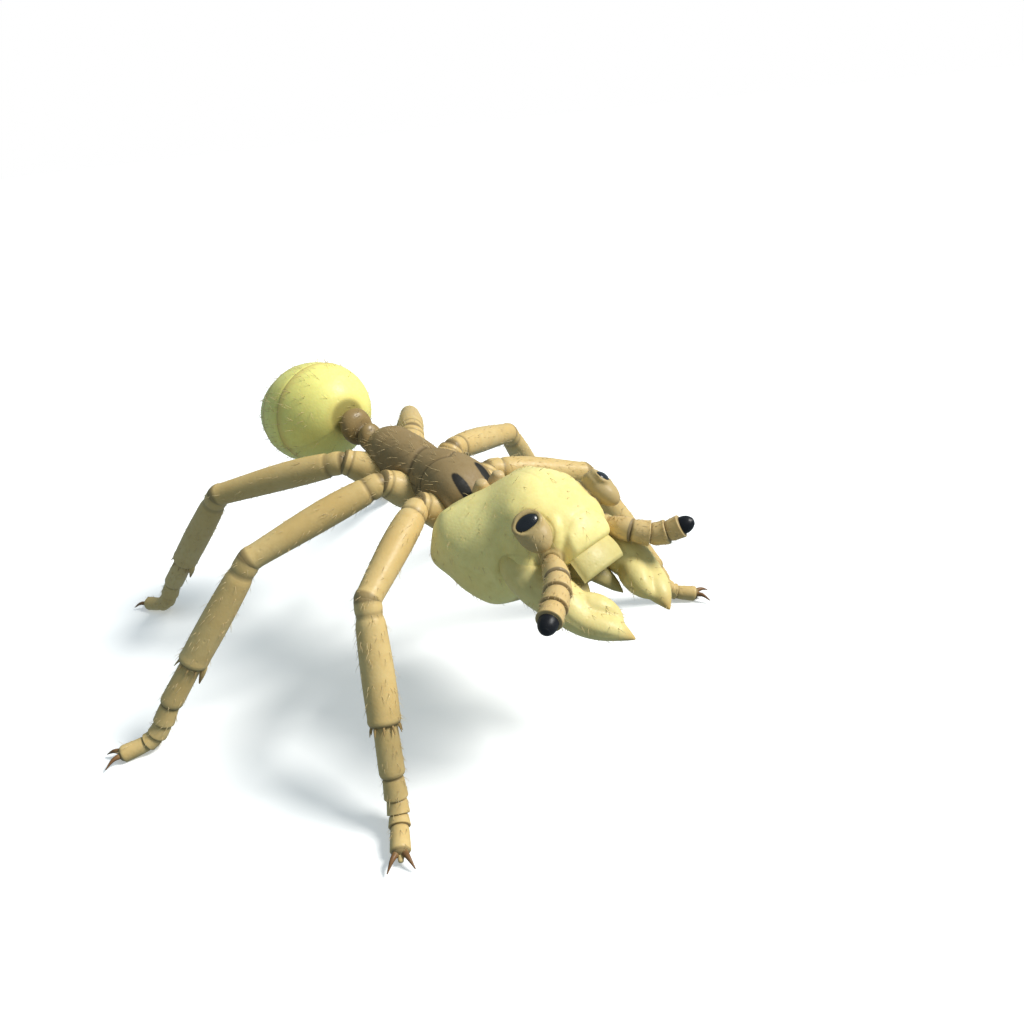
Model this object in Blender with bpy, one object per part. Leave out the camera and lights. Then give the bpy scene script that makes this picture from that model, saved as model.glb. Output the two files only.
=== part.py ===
"""A soldier army ant at life size, standing on six feet.

Lengths are written in millimetres and turned into metres where a mesh is made.
The ant looks along -Y, its left side is +X, and the floor is Z = 0.
"""

import math

import bmesh
import bpy
import numpy as np

MM = 0.001

# Driving dimensions, in millimetres. "Forward" runs from the tail to the jaws.
BODY_MIDDLE = 1.19  # how far the middle of the whole outline lies behind the body's origin
GAP = 0.08  # clearance between neighbouring pieces of so small an animal

THORAX_REAR = -1.42
THORAX_FRONT = 1.96
THORAX_HEIGHT = 4.55  # height of the trunk's axis above the floor at forward 0
THORAX_SLOPE = -0.181  # the trunk's axis sinks towards the head

WAIST_REAR = -2.40  # where the second small waist joint ends
GASTER_LENGTH = 3.25
GASTER_WIDTH = 2.54
GASTER_HEIGHT = 2.50
GASTER_PITCH = -7.0  # degrees, the tail end hangs a little
GASTER_ROOT_HEIGHT = 5.30
GASTER_SEGMENTS = 5

HEAD_MIDDLE = (3.26, 4.45)  # forward and up of the head's own middle
HEAD_PITCH = 44.0  # degrees that the face slopes down towards the jaws
HEAD_CORE = (0.30, -0.30)  # the point in the head that its surface is measured from, along and out of the face
HEAD_REACH = {"front": 1.75, "back": 1.20, "side": 1.16, "out": 1.48, "under": 1.22}
HEAD_ROUNDNESS = 1.9  # 2 would be an ellipsoid
HEAD_CUT = 0.96  # the head's front is cut off here, where the mouth opens
EYE_RADII = (0.145, 0.215, 0.08)  # along the lobe, across it and out of it: a low dome
EYE_LIFT = 0.06  # how far the dome's middle stands out of the lobe

# The crest of the broad tooth on a jaw's inner edge, as (along, side, out) of the head.
JAW_TOOTH = ((1.86, 0.94, 0.28), (2.22, 0.58, 0.56), (2.45, 0.49, 0.66), (2.68, 0.54, 0.74))
FEELER_RADIUS = 0.225
LASH_JOINTS = (0.30, 0.28, 0.24, 0.18)  # shares of the lash's length
TARSUS_JOINTS = (0.42, 0.17, 0.12, 0.09, 0.20)  # shares of the foot's length
TIBIA_SHARE = 0.52  # share of the way from the knee to the floor
TOE_LENGTH = 0.55
TOE_SETBACK = 0.20  # the foot bends this far before the leg's line would meet the floor
TOE_HEIGHT = 0.13  # height of the toe's middle, so that its underside is cut flat by the floor

LEG_SIDES = 10
FOOT_SIDES = 8

# Each left leg: where its coxa leaves the trunk, the coxa's tip, the knee and the foot, as (side, forward, up).
LEGS = {
    "front": {"root": (0.34, 1.26, 3.96), "coxa": (0.98, 1.02, 4.38), "knee": (3.15, 1.94, 3.66),
              "foot": (4.57, 3.70, 0.0)},
    "middle": {"root": (0.34, 0.10, 4.14), "coxa": (1.00, -0.10, 4.62), "knee": (3.80, -1.09, 3.81),
               "foot": (6.70, -2.42, 0.0)},
    "hind": {"root": (0.34, -0.92, 4.34), "coxa": (0.98, -1.42, 4.78), "knee": (2.89, -3.98, 4.09),
             "foot": (4.03, -7.65, 0.0)},
}

# The elbow, the middle of the lash and the tip of each feeler.
FEELERS = {
    "right": {"elbow": (-1.44, 5.08, 4.35), "bend": (-1.70, 5.30, 4.35), "tip": (-2.55, 5.77, 4.28)},
    "left": {"elbow": (0.93, 4.87, 4.10), "bend": (1.20, 5.26, 4.02), "tip": (1.55, 5.80, 4.28)},
}

COLOURS = {
    "head": ((0.93, 0.84, 0.50), 0.42),
    "jaw": ((0.92, 0.80, 0.42), 0.35),
    "eye": ((0.012, 0.014, 0.018), 0.12),
    "mouth": ((0.62, 0.55, 0.30), 0.50),
    "feeler": ((0.74, 0.60, 0.36), 0.45),
    "trunk": ((0.24, 0.17, 0.09), 0.40),
    "waist": ((0.34, 0.24, 0.12), 0.42),
    "tail": ((0.92, 0.88, 0.46), 0.38),
    "leg": ((0.78, 0.62, 0.36), 0.42),
    "neck": ((0.76, 0.62, 0.40), 0.50),
}


def point(side, forward, up):
    """A point of the ant in the part's own axes, in millimetres."""
    return np.array([side, -forward - BODY_MIDDLE, up], float)


def mirrored(place, hand):
    """The same place on the left (hand 1) or the right (hand -1)."""
    return (place[0] * hand, place[1], place[2])


def smooth(keys, count):
    """Samples of a smooth curve through the rows of keys, spaced evenly along their first three columns."""
    keys = np.asarray(keys, float)
    steps = np.linalg.norm(np.diff(keys[:, :3], axis=0), axis=1)
    along = np.concatenate([[0], np.cumsum(steps)])
    slopes = np.gradient(keys, along, axis=0)
    t = np.linspace(0, along[-1], count)
    i = np.clip(np.searchsorted(along, t, side="right") - 1, 0, len(keys) - 2)
    h = (along[i + 1] - along[i])[:, None]
    s = (t - along[i])[:, None] / h
    near = (2 * s**3 - 3 * s**2 + 1) * keys[i] + (s**3 - 2 * s**2 + s) * h * slopes[i]
    return near + (3 * s**2 - 2 * s**3) * keys[i + 1] + (s**3 - s**2) * h * slopes[i + 1]


def unit(vector):
    return vector / np.linalg.norm(vector)


def power(value, exponent):
    """value to a power, keeping its sign."""
    return np.sign(value) * np.abs(value) ** exponent


def material(kind):
    """The Principled material of one kind of surface."""
    made = bpy.data.materials.get(kind)
    if made is None:
        colour, roughness = COLOURS[kind]
        made = bpy.data.materials.new(kind)
        made.use_nodes = True
        shader = made.node_tree.nodes["Principled BSDF"]
        shader.inputs["Base Color"].default_value = (*colour, 1)
        shader.inputs["Roughness"].default_value = roughness
        shader.inputs["Metallic"].default_value = 0.0
    return made


def lofted(name, rings, kind):
    """A closed object through rings of equally many points, each end closed by a fan."""
    rings = [np.asarray(ring) * MM for ring in rings]
    mesh = bmesh.new()
    rows = [[mesh.verts.new(p) for p in ring] for ring in rings]
    for near, far in zip(rows, rows[1:]):
        for i in range(len(near)):
            j = (i + 1) % len(near)
            mesh.faces.new((near[i], near[j], far[j], far[i]))
    for row, ring in ((rows[0], rings[0]), (rows[-1], rings[-1])):
        middle = mesh.verts.new(ring.mean(axis=0))
        for i in range(len(row)):
            mesh.faces.new((row[i], row[(i + 1) % len(row)], middle))
    bmesh.ops.recalc_face_normals(mesh, faces=mesh.faces)
    data = bpy.data.meshes.new(name)
    mesh.to_mesh(data)
    mesh.free()
    data.materials.append(material(kind))
    data.shade_smooth()
    made = bpy.data.objects.new(name, data)
    bpy.context.scene.collection.objects.link(made)
    return made


def mitred(ring, along, plane_point, plane_normal):
    """The ring slid along the limb until it lies in a plane."""
    reach = (plane_point - ring) @ plane_normal / (along @ plane_normal)
    return ring + reach[:, None] * along


def swept(path, radii, sides, flat=1.0, across=(0, 0, 1), exponent=1.0, ends=None):
    """Rings round a path. radii is the half-width, flat its ratio to the half-height, and ends the mitre planes."""
    path = np.asarray(path, float)
    tangents = np.gradient(path, axis=0)
    tangents /= np.linalg.norm(tangents, axis=1)[:, None]
    upward = np.asarray(across, float)
    angles = np.linspace(0, 2 * math.pi, sides, endpoint=False) + math.pi / sides
    wide, high = power(np.cos(angles), exponent), power(np.sin(angles), exponent)
    rings = []
    for place, tangent, radius in zip(path, tangents, radii):
        upward = unit(upward - tangent * (upward @ tangent))
        sideways = np.cross(tangent, upward)
        rings.append(place + radius * (np.outer(wide, sideways) + flat * np.outer(high, upward)))
    start, end = ends or (None, None)
    if start is not None:
        rings[0] = mitred(rings[0], tangents[0], path[0], start)
    if end is not None:
        rings[-1] = mitred(rings[-1], tangents[-1], path[-1], end)
    return rings


def ball(name, middle, radii, axes, kind, rows=8, sides=12):
    """An ellipsoid with its own three axes."""
    middle, axes = np.asarray(middle), np.asarray(axes)
    rings = []
    for turn in np.linspace(0, math.pi, rows + 1)[1:-1]:
        angles = np.linspace(0, 2 * math.pi, sides, endpoint=False)
        ring = [
            middle
            + axes[0] * radii[0] * math.cos(turn)
            + axes[1] * radii[1] * math.sin(turn) * math.cos(a)
            + axes[2] * radii[2] * math.sin(turn) * math.sin(a)
            for a in angles
        ]
        rings.append(ring)
    made = lofted(name, rings, kind)
    poles = made.data.vertices[-2:]
    for pole, sign in zip(poles, (1, -1)):
        pole.co = (middle + sign * axes[0] * radii[0]) * MM
    return made


def boolean(target, others, operation):
    """Joins the others to the target, or cuts them from it, and removes them."""
    group = bpy.data.collections.new(target.name + "_tools")
    bpy.context.scene.collection.children.link(group)
    for other in others:
        bpy.context.scene.collection.objects.unlink(other)
        group.objects.link(other)
    step = target.modifiers.new(operation.lower(), "BOOLEAN")
    step.operation = operation
    step.solver = "EXACT"
    step.operand_type = "COLLECTION"
    step.collection = group
    with bpy.context.temp_override(object=target, active_object=target):
        bpy.ops.object.modifier_apply(modifier=step.name)
    for other in others:
        bpy.data.objects.remove(other)
    bpy.data.collections.remove(group)
    keep_largest(target)
    return target


def keep_largest(made):
    """Keeps only the largest closed surface of a mesh."""
    mesh = bmesh.new()
    mesh.from_mesh(made.data)
    left, islands = set(mesh.verts), []
    while left:
        todo, island = [left.pop()], set()
        while todo:
            vertex = todo.pop()
            island.add(vertex)
            for edge in vertex.link_edges:
                other = edge.other_vert(vertex)
                if other in left:
                    left.discard(other)
                    todo.append(other)
        islands.append(island)
    islands.sort(key=len)
    for island in islands[:-1]:
        bmesh.ops.delete(mesh, geom=list(island), context="VERTS")
    mesh.to_mesh(made.data)
    mesh.free()


# The trunk, waist and tail


def body_rings(keys, count, sides, grow=0.0, exponent=0.92):
    """Rings from keys of (forward, middle height, half-width, rise above, depth below), swollen by grow."""
    keys = np.asarray(keys, float)
    rows = smooth(np.column_stack([keys[:, 0], keys[:, 1] * 0, keys[:, 1] * 0, keys[:, 1:]]), count)
    angles = np.linspace(0, 2 * math.pi, sides, endpoint=False) + math.pi / sides
    wide, high = power(np.cos(angles), exponent), power(np.sin(angles), exponent)
    rings = []
    for forward, _, _, height, half, rise, depth in rows:
        up = np.where(high > 0, high * (rise + grow), high * (depth + grow))
        rings.append([point(w * (half + grow), forward, height + u) for w, u in zip(wide, up)])
    return rings


def trunk_axis(forward):
    return THORAX_HEIGHT + THORAX_SLOPE * forward


def thorax(name="thorax", grow=0.0):
    """The fused trunk: shoulders in front, a dip behind them and the sloping rear face."""
    length = THORAX_FRONT - THORAX_REAR
    shape = (  # share of the length from the rear, half-width, rise, depth
        (0.000, 0.26, 0.14, 0.24),
        (0.025, 0.42, 0.36, 0.44),
        (0.100, 0.55, 0.56, 0.58),
        (0.250, 0.58, 0.63, 0.63),
        (0.400, 0.56, 0.62, 0.65),
        (0.480, 0.55, 0.58, 0.66),
        (0.600, 0.62, 0.68, 0.68),
        (0.780, 0.70, 0.72, 0.64),
        (0.910, 0.60, 0.56, 0.52),
        (0.980, 0.40, 0.33, 0.38),
        (1.000, 0.26, 0.20, 0.28),
    )
    keys = []
    for share, half, rise, depth in shape:
        forward = THORAX_REAR + share * length
        keys.append((forward, trunk_axis(forward), half, rise, depth))
    if grow:
        keys[0] = (keys[0][0] - grow, *keys[0][1:])
        keys[-1] = (keys[-1][0] + grow, *keys[-1][1:])
    return lofted(name, body_rings(keys, 26, 20, grow), "trunk")


PETIOLE = (  # forward, height, half-width, rise, depth
    (-1.48, 4.82, 0.19, 0.12, 0.16),
    (-1.55, 4.84, 0.26, 0.26, 0.24),
    (-1.70, 4.89, 0.29, 0.38, 0.28),
    (-1.83, 4.94, 0.26, 0.28, 0.26),
    (-1.90, 4.97, 0.19, 0.17, 0.19),
)
POSTPETIOLE = (
    (-1.96, 5.00, 0.20, 0.17, 0.20),
    (-2.03, 5.03, 0.31, 0.31, 0.31),
    (-2.18, 5.10, 0.39, 0.41, 0.38),
    (-2.33, 5.17, 0.35, 0.34, 0.34),
    (-2.40, 5.20, 0.25, 0.23, 0.25),
)


def waist_node(name, keys, tooth=False):
    """One of the two small nodes of the waist, the first with a blunt tooth below."""
    made = lofted(name, body_rings(keys, 9, 12), "waist")
    if tooth:
        forward, height, _, _, depth = keys[1]
        path = smooth([point(0, forward, height - depth * 0.4), point(0, forward + 0.03, height - depth - 0.14)], 4)
        boolean(made, [lofted("tooth", swept(path, (0.16, 0.15, 0.12, 0.05), 8, across=(1, 0, 0)), "waist")], "UNION")
    return made


def gaster_keys(grow=0.0):
    """Rings' keys of the tail: overlapping plates, each a little wider at its rear edge than the next at its root."""
    keys = []
    pitch = math.radians(GASTER_PITCH)
    plates = (0.0, 0.34, 0.56, 0.74, 0.88, 1.0)
    for plate in range(GASTER_SEGMENTS):
        near, far = plates[plate], plates[plate + 1]
        for share, swell in ((0.0, 0.955), (0.12, 0.985), (0.6, 1.0), (0.94, 1.012)):
            along = near + (far - near) * share
            if plate == 0:
                swell = 1.0
            outline = math.sin(math.pi * min(1.0, along**0.80 * 0.93 + 0.045)) ** 0.66
            half = GASTER_WIDTH / 2 * outline * swell
            tall = GASTER_HEIGHT / 2 * outline * swell
            forward = WAIST_REAR - GAP - along * GASTER_LENGTH * math.cos(pitch)
            height = GASTER_ROOT_HEIGHT + along * GASTER_LENGTH * math.sin(pitch)
            keys.append((forward, height, half, tall, tall * 0.98))
    last = keys[-1]
    keys.append((last[0] - 0.10, last[1] - 0.03, last[2] * 0.5, last[3] * 0.5, last[4] * 0.5))
    return keys


def gaster():
    """The pale tail, with the edges of its plates stepped in the surface and a short sting at its end."""
    keys = gaster_keys()
    angles = np.linspace(0, 2 * math.pi, 24, endpoint=False)
    rings = []
    for forward, height, half, rise, depth in keys:
        ring = []
        for a in angles:
            up = math.sin(a) * (rise if math.sin(a) > 0 else depth)
            ring.append(point(half * math.cos(a), forward, height + up))
        rings.append(ring)
    made = lofted("gaster", rings, "tail")
    forward, height = keys[-1][:2]
    path = smooth([point(0, forward + 0.25, height), point(0, forward - 0.12, height - 0.02),
                   point(0, forward - 0.34, height - 0.08)], 5)
    sting = lofted("sting", swept(path, (0.13, 0.11, 0.08, 0.05, 0.02), 8), "tail")
    return boolean(made, [sting], "UNION")


# The head. Its own axes: u along the face towards the jaws, v out of the face, and side.


def head_axes():
    pitch = math.radians(HEAD_PITCH)
    along = unit(np.array([0, -math.cos(pitch), -math.sin(pitch)]))
    out = unit(np.array([0, -math.sin(pitch), math.cos(pitch)]))
    return along, out


def on_head(u, side, v):
    """A point given in the head's own axes."""
    along, out = head_axes()
    middle = point(0, *HEAD_MIDDLE)
    return middle + along * u + out * v + np.array([side, 0, 0])


def bump(direction, towards, spread):
    """A soft bump of height 1 round a direction and its mirror image, as wide as spread."""
    towards = unit(np.array(towards))
    gap = np.stack([direction[0] - towards[0], np.abs(direction[1]) - towards[1], direction[2] - towards[2]])
    return np.exp(-(gap**2).sum(axis=0) / spread**2)


def head_radius(direction):
    """How far the head's surface lies from its core in a direction given as along, side and out of the face."""
    along, side, out = direction
    fore_aft = np.where(along > 0, HEAD_REACH["front"], HEAD_REACH["back"])
    up_down = np.where(out > 0, HEAD_REACH["out"], HEAD_REACH["under"])
    parts = np.stack([along / fore_aft, side / HEAD_REACH["side"], out / up_down])
    radius = (np.abs(parts) ** HEAD_ROUNDNESS).sum(axis=0) ** (-1 / HEAD_ROUNDNESS)
    radius = radius + 0.76 * bump(direction, (-0.66, 0.61, -0.47), 0.48)
    radius = radius + 0.55 * bump(direction, (0.03, 0.72, -0.68), 0.46)
    radius = radius + 0.16 * bump(direction, (0.41, 0.74, -0.50), 0.23)
    radius = radius + 0.20 * bump(direction, (-0.35, 0.68, -0.61), 0.17)
    radius = radius + 0.20 * bump(direction, (-0.36, 0.91, -0.21), 0.34)
    radius = radius - 0.24 * bump(direction, (-0.23, 0.0, 0.97), 0.42)
    radius = radius - 0.34 * bump(direction, (-0.80, 0.0, -0.50), 0.42)
    radius = radius - 0.02 * np.exp(-((side / 0.10) ** 2)) * np.clip(out, 0, 1)
    front = HEAD_CUT / np.maximum(along, 0.05)
    sharpness = 0.10
    return -sharpness * np.logaddexp(-radius / sharpness, -front / sharpness)


def head_shell(name, grow=0.0):
    """The bare capsule of the head, in rings from one side to the other."""
    rings = []
    around = np.linspace(0, 2 * math.pi, 28, endpoint=False)
    for turn in np.radians(np.linspace(-82, 82, 25)):
        direction = np.stack([
            math.cos(turn) * np.cos(around),
            np.full(len(around), math.sin(turn)),
            math.cos(turn) * np.sin(around),
        ])
        reach = direction * (head_radius(direction) + grow)
        rings.append([on_head(HEAD_CORE[0] + u, side, HEAD_CORE[1] + v) for u, side, v in reach.T])
    return lofted(name, rings, "head")


def face_height(u, side):
    """The v at which the head's surface lies above a place of the face."""
    low, high = 0.0, 2.5
    for _ in range(30):
        v = (low + high) / 2
        offset = np.array([u - HEAD_CORE[0], side, v])
        distance = np.linalg.norm(offset)
        if head_radius(offset / distance) > distance:
            low = v
        else:
            high = v
    return v + HEAD_CORE[1]


def on_face(u, side, lift=0.0):
    """A point that stands on the face by lift."""
    return on_head(u, side, face_height(u, side) + lift)


def plate(name, rows, thickness, kind):
    """A bent plate from rows of (u, half-width, v), arched from side to side."""
    rings = []
    for u, half, v in rows:
        across = np.linspace(-1, 1, 7)
        top = [on_head(u, half * s, v - 0.14 * s * s) for s in across]
        under = [on_head(u, half * s, v - 0.14 * s * s - thickness) for s in across[::-1]]
        rings.append(top + under)
    return lofted(name, rings, kind)


def clypeus():
    """The raised front edge of the face."""
    rows = ((0.52, 0.42, 0.98), (0.84, 0.57, 1.06), (1.08, 0.60, 1.03), (1.22, 0.57, 0.96))
    return plate("clypeus", rows, 0.4, "head")


def labrum():
    """The thin upper lip that hangs from the front edge."""
    return plate("labrum", ((1.30, 0.57, 0.91), (1.48, 0.585, 0.895), (1.68, 0.57, 0.87)), 0.17, "head")


def frontal_ridge(hand):
    """The low crest beside a feeler's socket."""
    keys = [on_face(0.30, 0.26 * hand, -0.12), on_face(0.60, 0.40 * hand, -0.09), on_face(0.92, 0.54 * hand, -0.09)]
    radii = (0.06, 0.10, 0.12, 0.12, 0.10, 0.07)
    return lofted("ridge", swept(smooth(keys, 6), radii, 8), "head")


def socket_rim(hand):
    """The ring that the feeler grows from."""
    root, along = feeler_root(hand)
    path = [root - along * 0.30, root - along * 0.1, root + along * 0.03, root + along * 0.07]
    return lofted("rim", swept(path, (0.21, 0.25, 0.24, 0.20), 12), "head")


def eye_axes(hand):
    along, out = head_axes()
    side = np.array([hand, 0, 0])
    facing = unit(out * 0.80 + side * 0.55 - along * 0.25)
    length = unit(along - facing * (along @ facing))
    return length, np.cross(facing, length), facing


def eye_place(hand):
    return on_head(0.29, 1.03 * hand, 0.925)


def eye_lobe(hand):
    """The raised lobe that carries an eye and runs on towards the feeler."""
    length, across, facing = eye_axes(hand)
    middle = eye_place(hand) + length * 0.12 - facing * 0.14
    return ball("lobe", middle, (0.43, 0.30, 0.24), (length, across, facing), "head", 8, 12)


def eye(hand, name, grow=0.0):
    length, across, facing = eye_axes(hand)
    radii = [r + grow for r in EYE_RADII]
    return ball(name, eye_place(hand) + facing * EYE_LIFT, radii, (length, across, facing), "eye", 8, 14)


def jaw_seat(hand, grow=0.0):
    """The swelling at the corner of the head that a jaw turns in."""
    along, out = head_axes()
    radii = (0.36 + grow, 0.34 + grow, 0.44 + grow)
    return ball("seat", on_head(0.86, 0.92 * hand, -0.06), radii, (along, np.array([1, 0, 0]), out), "head", 8, 12)


def jaw_path(hand, count):
    keys = [
        (*on_head(0.78, 0.96 * hand, -0.12), 0.40),
        (*on_head(1.15, 0.99 * hand, 0.08), 0.49),
        (*on_head(1.70, 0.95 * hand, 0.32), 0.46),
        (*on_head(2.20, 0.91 * hand, 0.48), 0.35),
        (*on_head(2.65, 0.68 * hand, 0.71), 0.24),
        (*on_head(2.98, 0.53 * hand, 0.81), 0.03),
    ]
    rows = smooth(keys, count)
    return rows[:, :3], rows[:, 3]


def jaw(hand, name):
    """A sickle-shaped jaw with one broad tooth on its inner edge, cut to the head that it turns on."""
    _, out = head_axes()
    path, radii = jaw_path(hand, 14)
    made = lofted(name, swept(path, radii, 14, flat=0.76, across=out), "jaw")
    keys = [on_head(u, side * hand, v) for u, side, v in JAW_TOOTH]
    tooth = lofted("tooth", swept(smooth(keys, 7), (0.22, 0.29, 0.30, 0.28, 0.23, 0.14, 0.05), 10, across=out), "jaw")
    boolean(made, [tooth], "UNION")
    return boolean(made, [head_shell("cut", GAP), jaw_seat(hand, GAP)], "DIFFERENCE")


def mouthparts():
    """The lower lip with two pointed lobes that show below the upper lip."""
    _, out = head_axes()
    front = HEAD_CORE[0] + HEAD_CUT + GAP
    keys = [on_head(front, 0, 0.06), on_head(front + 0.15, 0, 0.07), on_head(front + 0.28, 0, 0.08)]
    radii = (0.42, 0.45, 0.42, 0.32, 0.20)
    made = lofted("mouthparts", swept(smooth(keys, 5), radii, 12, flat=0.84, across=out), "mouth")
    lobes = []
    for hand in (1, -1):
        keys = [on_head(front + 0.06, 0.16 * hand, 0.06), on_head(1.72, 0.32 * hand, 0.11),
                on_head(2.24, 0.46 * hand, 0.16)]
        rings = swept(smooth(keys, 6), (0.22, 0.23, 0.22, 0.18, 0.12, 0.03), 8, flat=0.6, across=out)
        lobes.append(lofted("lobe", rings, "mouth"))
    return boolean(made, lobes, "UNION")


def feeler_root(hand):
    """Where a feeler leaves the face, and the way that it points."""
    side = "left" if hand > 0 else "right"
    root = on_face(1.00, 0.78 * hand, 0.0)
    return root, unit(point(*FEELERS[side]["elbow"]) - root)


def scape(hand, name):
    """The feeler's first joint, short as in the picture."""
    side = "left" if hand > 0 else "right"
    root, along = feeler_root(hand)
    elbow = point(*FEELERS[side]["elbow"])
    path = np.linspace(root + along * (0.08 + GAP), elbow, 7)
    shares = np.linspace(0, 1, 7)
    radii = FEELER_RADIUS * (0.74 + 0.30 * np.sin(np.pi * 0.6 * shares))
    return lofted(name, swept(path, radii, LEG_SIDES), "feeler")


def jointed(lengths, rows):
    """Shares along a stretch of joints of the given lengths, and the relative thickness at each."""
    shares, sizes, at = [], [], 0.0
    for length in lengths:
        for share, size in rows:
            shares.append(at + share * length)
            sizes.append(size)
        at += length
    return np.array(shares), np.array(sizes)


def along_path(path, shares):
    """Points at shares of a fine path's length."""
    steps = np.linalg.norm(np.diff(path, axis=0), axis=1)
    at = np.concatenate([[0], np.cumsum(steps)]) / steps.sum()
    return np.column_stack([np.interp(shares, at, path[:, k]) for k in range(3)])


def flagellum(hand, name):
    """The feeler's lash of short joints, each a cup that holds the next."""
    side = "left" if hand > 0 else "right"
    _, along = feeler_root(hand)
    elbow, bend, tip = (point(*FEELERS[side][key]) for key in ("elbow", "bend", "tip"))
    fine = smooth([elbow + along * GAP, bend, tip], 60)
    shares, sizes = jointed(LASH_JOINTS, ((0.03, 0.84), (0.30, 0.97), (0.60, 1.02), (0.92, 1.08)))
    radii = FEELER_RADIUS * sizes * (1.0 - 0.20 * shares**3)
    radii[-4:] = FEELER_RADIUS * np.array([0.73, 0.74, 0.66, 0.42])
    return lofted(name, swept(along_path(fine, shares), radii, LEG_SIDES, ends=(along, None)), "feeler")


def neck():
    """The short neck, with the two rounded lobes that show behind the head."""
    keys = [point(0, 1.80, 4.22), point(0, 2.20, 4.26), point(0, 2.75, 4.40)]
    made = lofted("neck", swept(smooth(keys, 7), (0.30, 0.30, 0.29, 0.28, 0.28, 0.28, 0.28), 12), "neck")
    lobes = []
    for hand in (1, -1):
        keys = [point(0.10 * hand, 2.16, 4.30), point(0.20 * hand, 2.12, 4.62), point(0.24 * hand, 2.16, 4.86)]
        rings = swept(smooth(keys, 5), (0.20, 0.21, 0.21, 0.19, 0.12), 8, across=(1, 0, 0))
        lobes.append(lofted("lobe", rings, "neck"))
    boolean(made, lobes, "UNION")
    return boolean(made, [thorax("cut", GAP), head_shell("cut_head", GAP)], "DIFFERENCE")


# The legs


def floor_block():
    """A cutter that takes off whatever lies below the floor."""
    reach = 12.0
    square = [(-reach, -reach), (reach, -reach), (reach, reach), (-reach, reach)]
    rings = [[np.array([x, y, z]) for x, y in square] for z in (-2.0, 0.0)]
    return lofted("floor_block", rings, "leg")


def limb(name, path, radii, sides, kind, start_normal=None, end_normal=None):
    return lofted(name, swept(path, radii, sides, ends=(start_normal, end_normal)), kind)


def leg_points(leg, hand):
    return [point(*mirrored(leg[key], hand)) for key in ("root", "coxa", "knee", "foot")]


def joint_normal(before, joint, after):
    """The plane that parts two joints of a leg, halfway between their directions."""
    return unit(unit(joint - before) + unit(after - joint))


def coxa(leg, hand, name):
    """The leg's stout first joint, cut to the trunk it leaves."""
    root, tip, knee, _ = leg_points(leg, hand)
    normal = joint_normal(root, tip, knee)
    end = tip - normal * GAP / 2
    path = smooth([root, (root + end) / 2, end], 7)
    made = limb(name, path, (0.36, 0.40, 0.40, 0.38, 0.34, 0.31, 0.28), LEG_SIDES, "leg", end_normal=normal)
    return boolean(made, [thorax("cut", GAP)], "DIFFERENCE")


def femur(leg, hand, name):
    root, tip, knee, foot = leg_points(leg, hand)
    start_normal, end_normal = joint_normal(root, tip, knee), joint_normal(tip, knee, foot)
    start, end = tip + start_normal * GAP / 2, knee - end_normal * GAP / 2
    bow = np.array([0, 0, 0.03])
    path = smooth([start, start * 0.62 + end * 0.38 + bow, end], 12)
    shares = np.linspace(0, 1, 12)
    radii = 0.25 + 0.06 * np.sin(np.pi * shares**0.75) ** 1.3
    return limb(name, path, radii, LEG_SIDES, "leg", start_normal, end_normal)


def ankle_place(leg, hand):
    _, _, knee, foot = leg_points(leg, hand)
    return knee + (foot - knee) * TIBIA_SHARE


def tibia(leg, hand, name):
    """The shank, thicker towards the foot, with its comb spur."""
    _, tip, knee, foot = leg_points(leg, hand)
    ankle, normal = ankle_place(leg, hand), joint_normal(tip, knee, foot)
    along = unit(foot - knee)
    start = knee + normal * GAP / 2
    path = np.linspace(start, ankle, 12)
    shares = np.linspace(0, 1, 12)
    radii = 0.25 + 0.045 * np.sin(np.pi * 0.5 * shares) + 0.02 * np.sin(np.pi * shares)
    radii[-1] = 0.25
    made = limb(name, path, radii, LEG_SIDES, "leg", start_normal=normal)
    inward = unit(np.cross(along, np.cross(np.array([0, 0, -1.0]), along)))
    keys = [ankle - along * 0.25, ankle + inward * 0.24 + along * 0.02, ankle + inward * 0.34 + along * 0.42]
    spur = lofted("spur", swept(smooth(keys, 5), (0.10, 0.10, 0.08, 0.06, 0.02), 6), "leg")
    return boolean(made, [spur], "UNION")


def tarsus(leg, hand, name):
    """The five-jointed foot, with a pair of claws, cut flat where it rests on the floor."""
    _, _, knee, foot = leg_points(leg, hand)
    along = unit(foot - knee)
    ankle = ankle_place(leg, hand)
    outward = unit(np.array([along[0], along[1], 0]))
    start = ankle + along * GAP
    toe = foot + outward * (TOE_LENGTH - TOE_SETBACK) + np.array([0, 0, TOE_HEIGHT])
    heel = foot - along * 0.10 - outward * TOE_SETBACK + np.array([0, 0, TOE_HEIGHT + 0.06])
    fine = smooth([start, start * 0.5 + heel * 0.5, heel, toe], 80)
    shares, sizes = jointed(TARSUS_JOINTS, ((0.03, 0.84), (0.30, 0.92), (0.86, 1.06), (0.97, 0.92)))
    radii = (0.25 - 0.075 * shares) * sizes
    radii[-1] *= 0.75
    made = limb(name, along_path(fine, shares), radii, FOOT_SIDES, "leg")
    claws = []
    across = np.cross(outward, np.array([0, 0, 1.0]))
    for split in (1, -1):
        keys = [toe - outward * 0.12, toe + outward * 0.16 + across * 0.14 * split + np.array([0, 0, 0.04]),
                toe + outward * 0.32 + across * 0.24 * split + np.array([0, 0, -0.04])]
        claws.append(lofted("claw", swept(smooth(keys, 5), (0.08, 0.075, 0.06, 0.045, 0.02), 6), "leg"))
    boolean(made, claws, "UNION")
    return boolean(made, [floor_block()], "DIFFERENCE")


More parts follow.
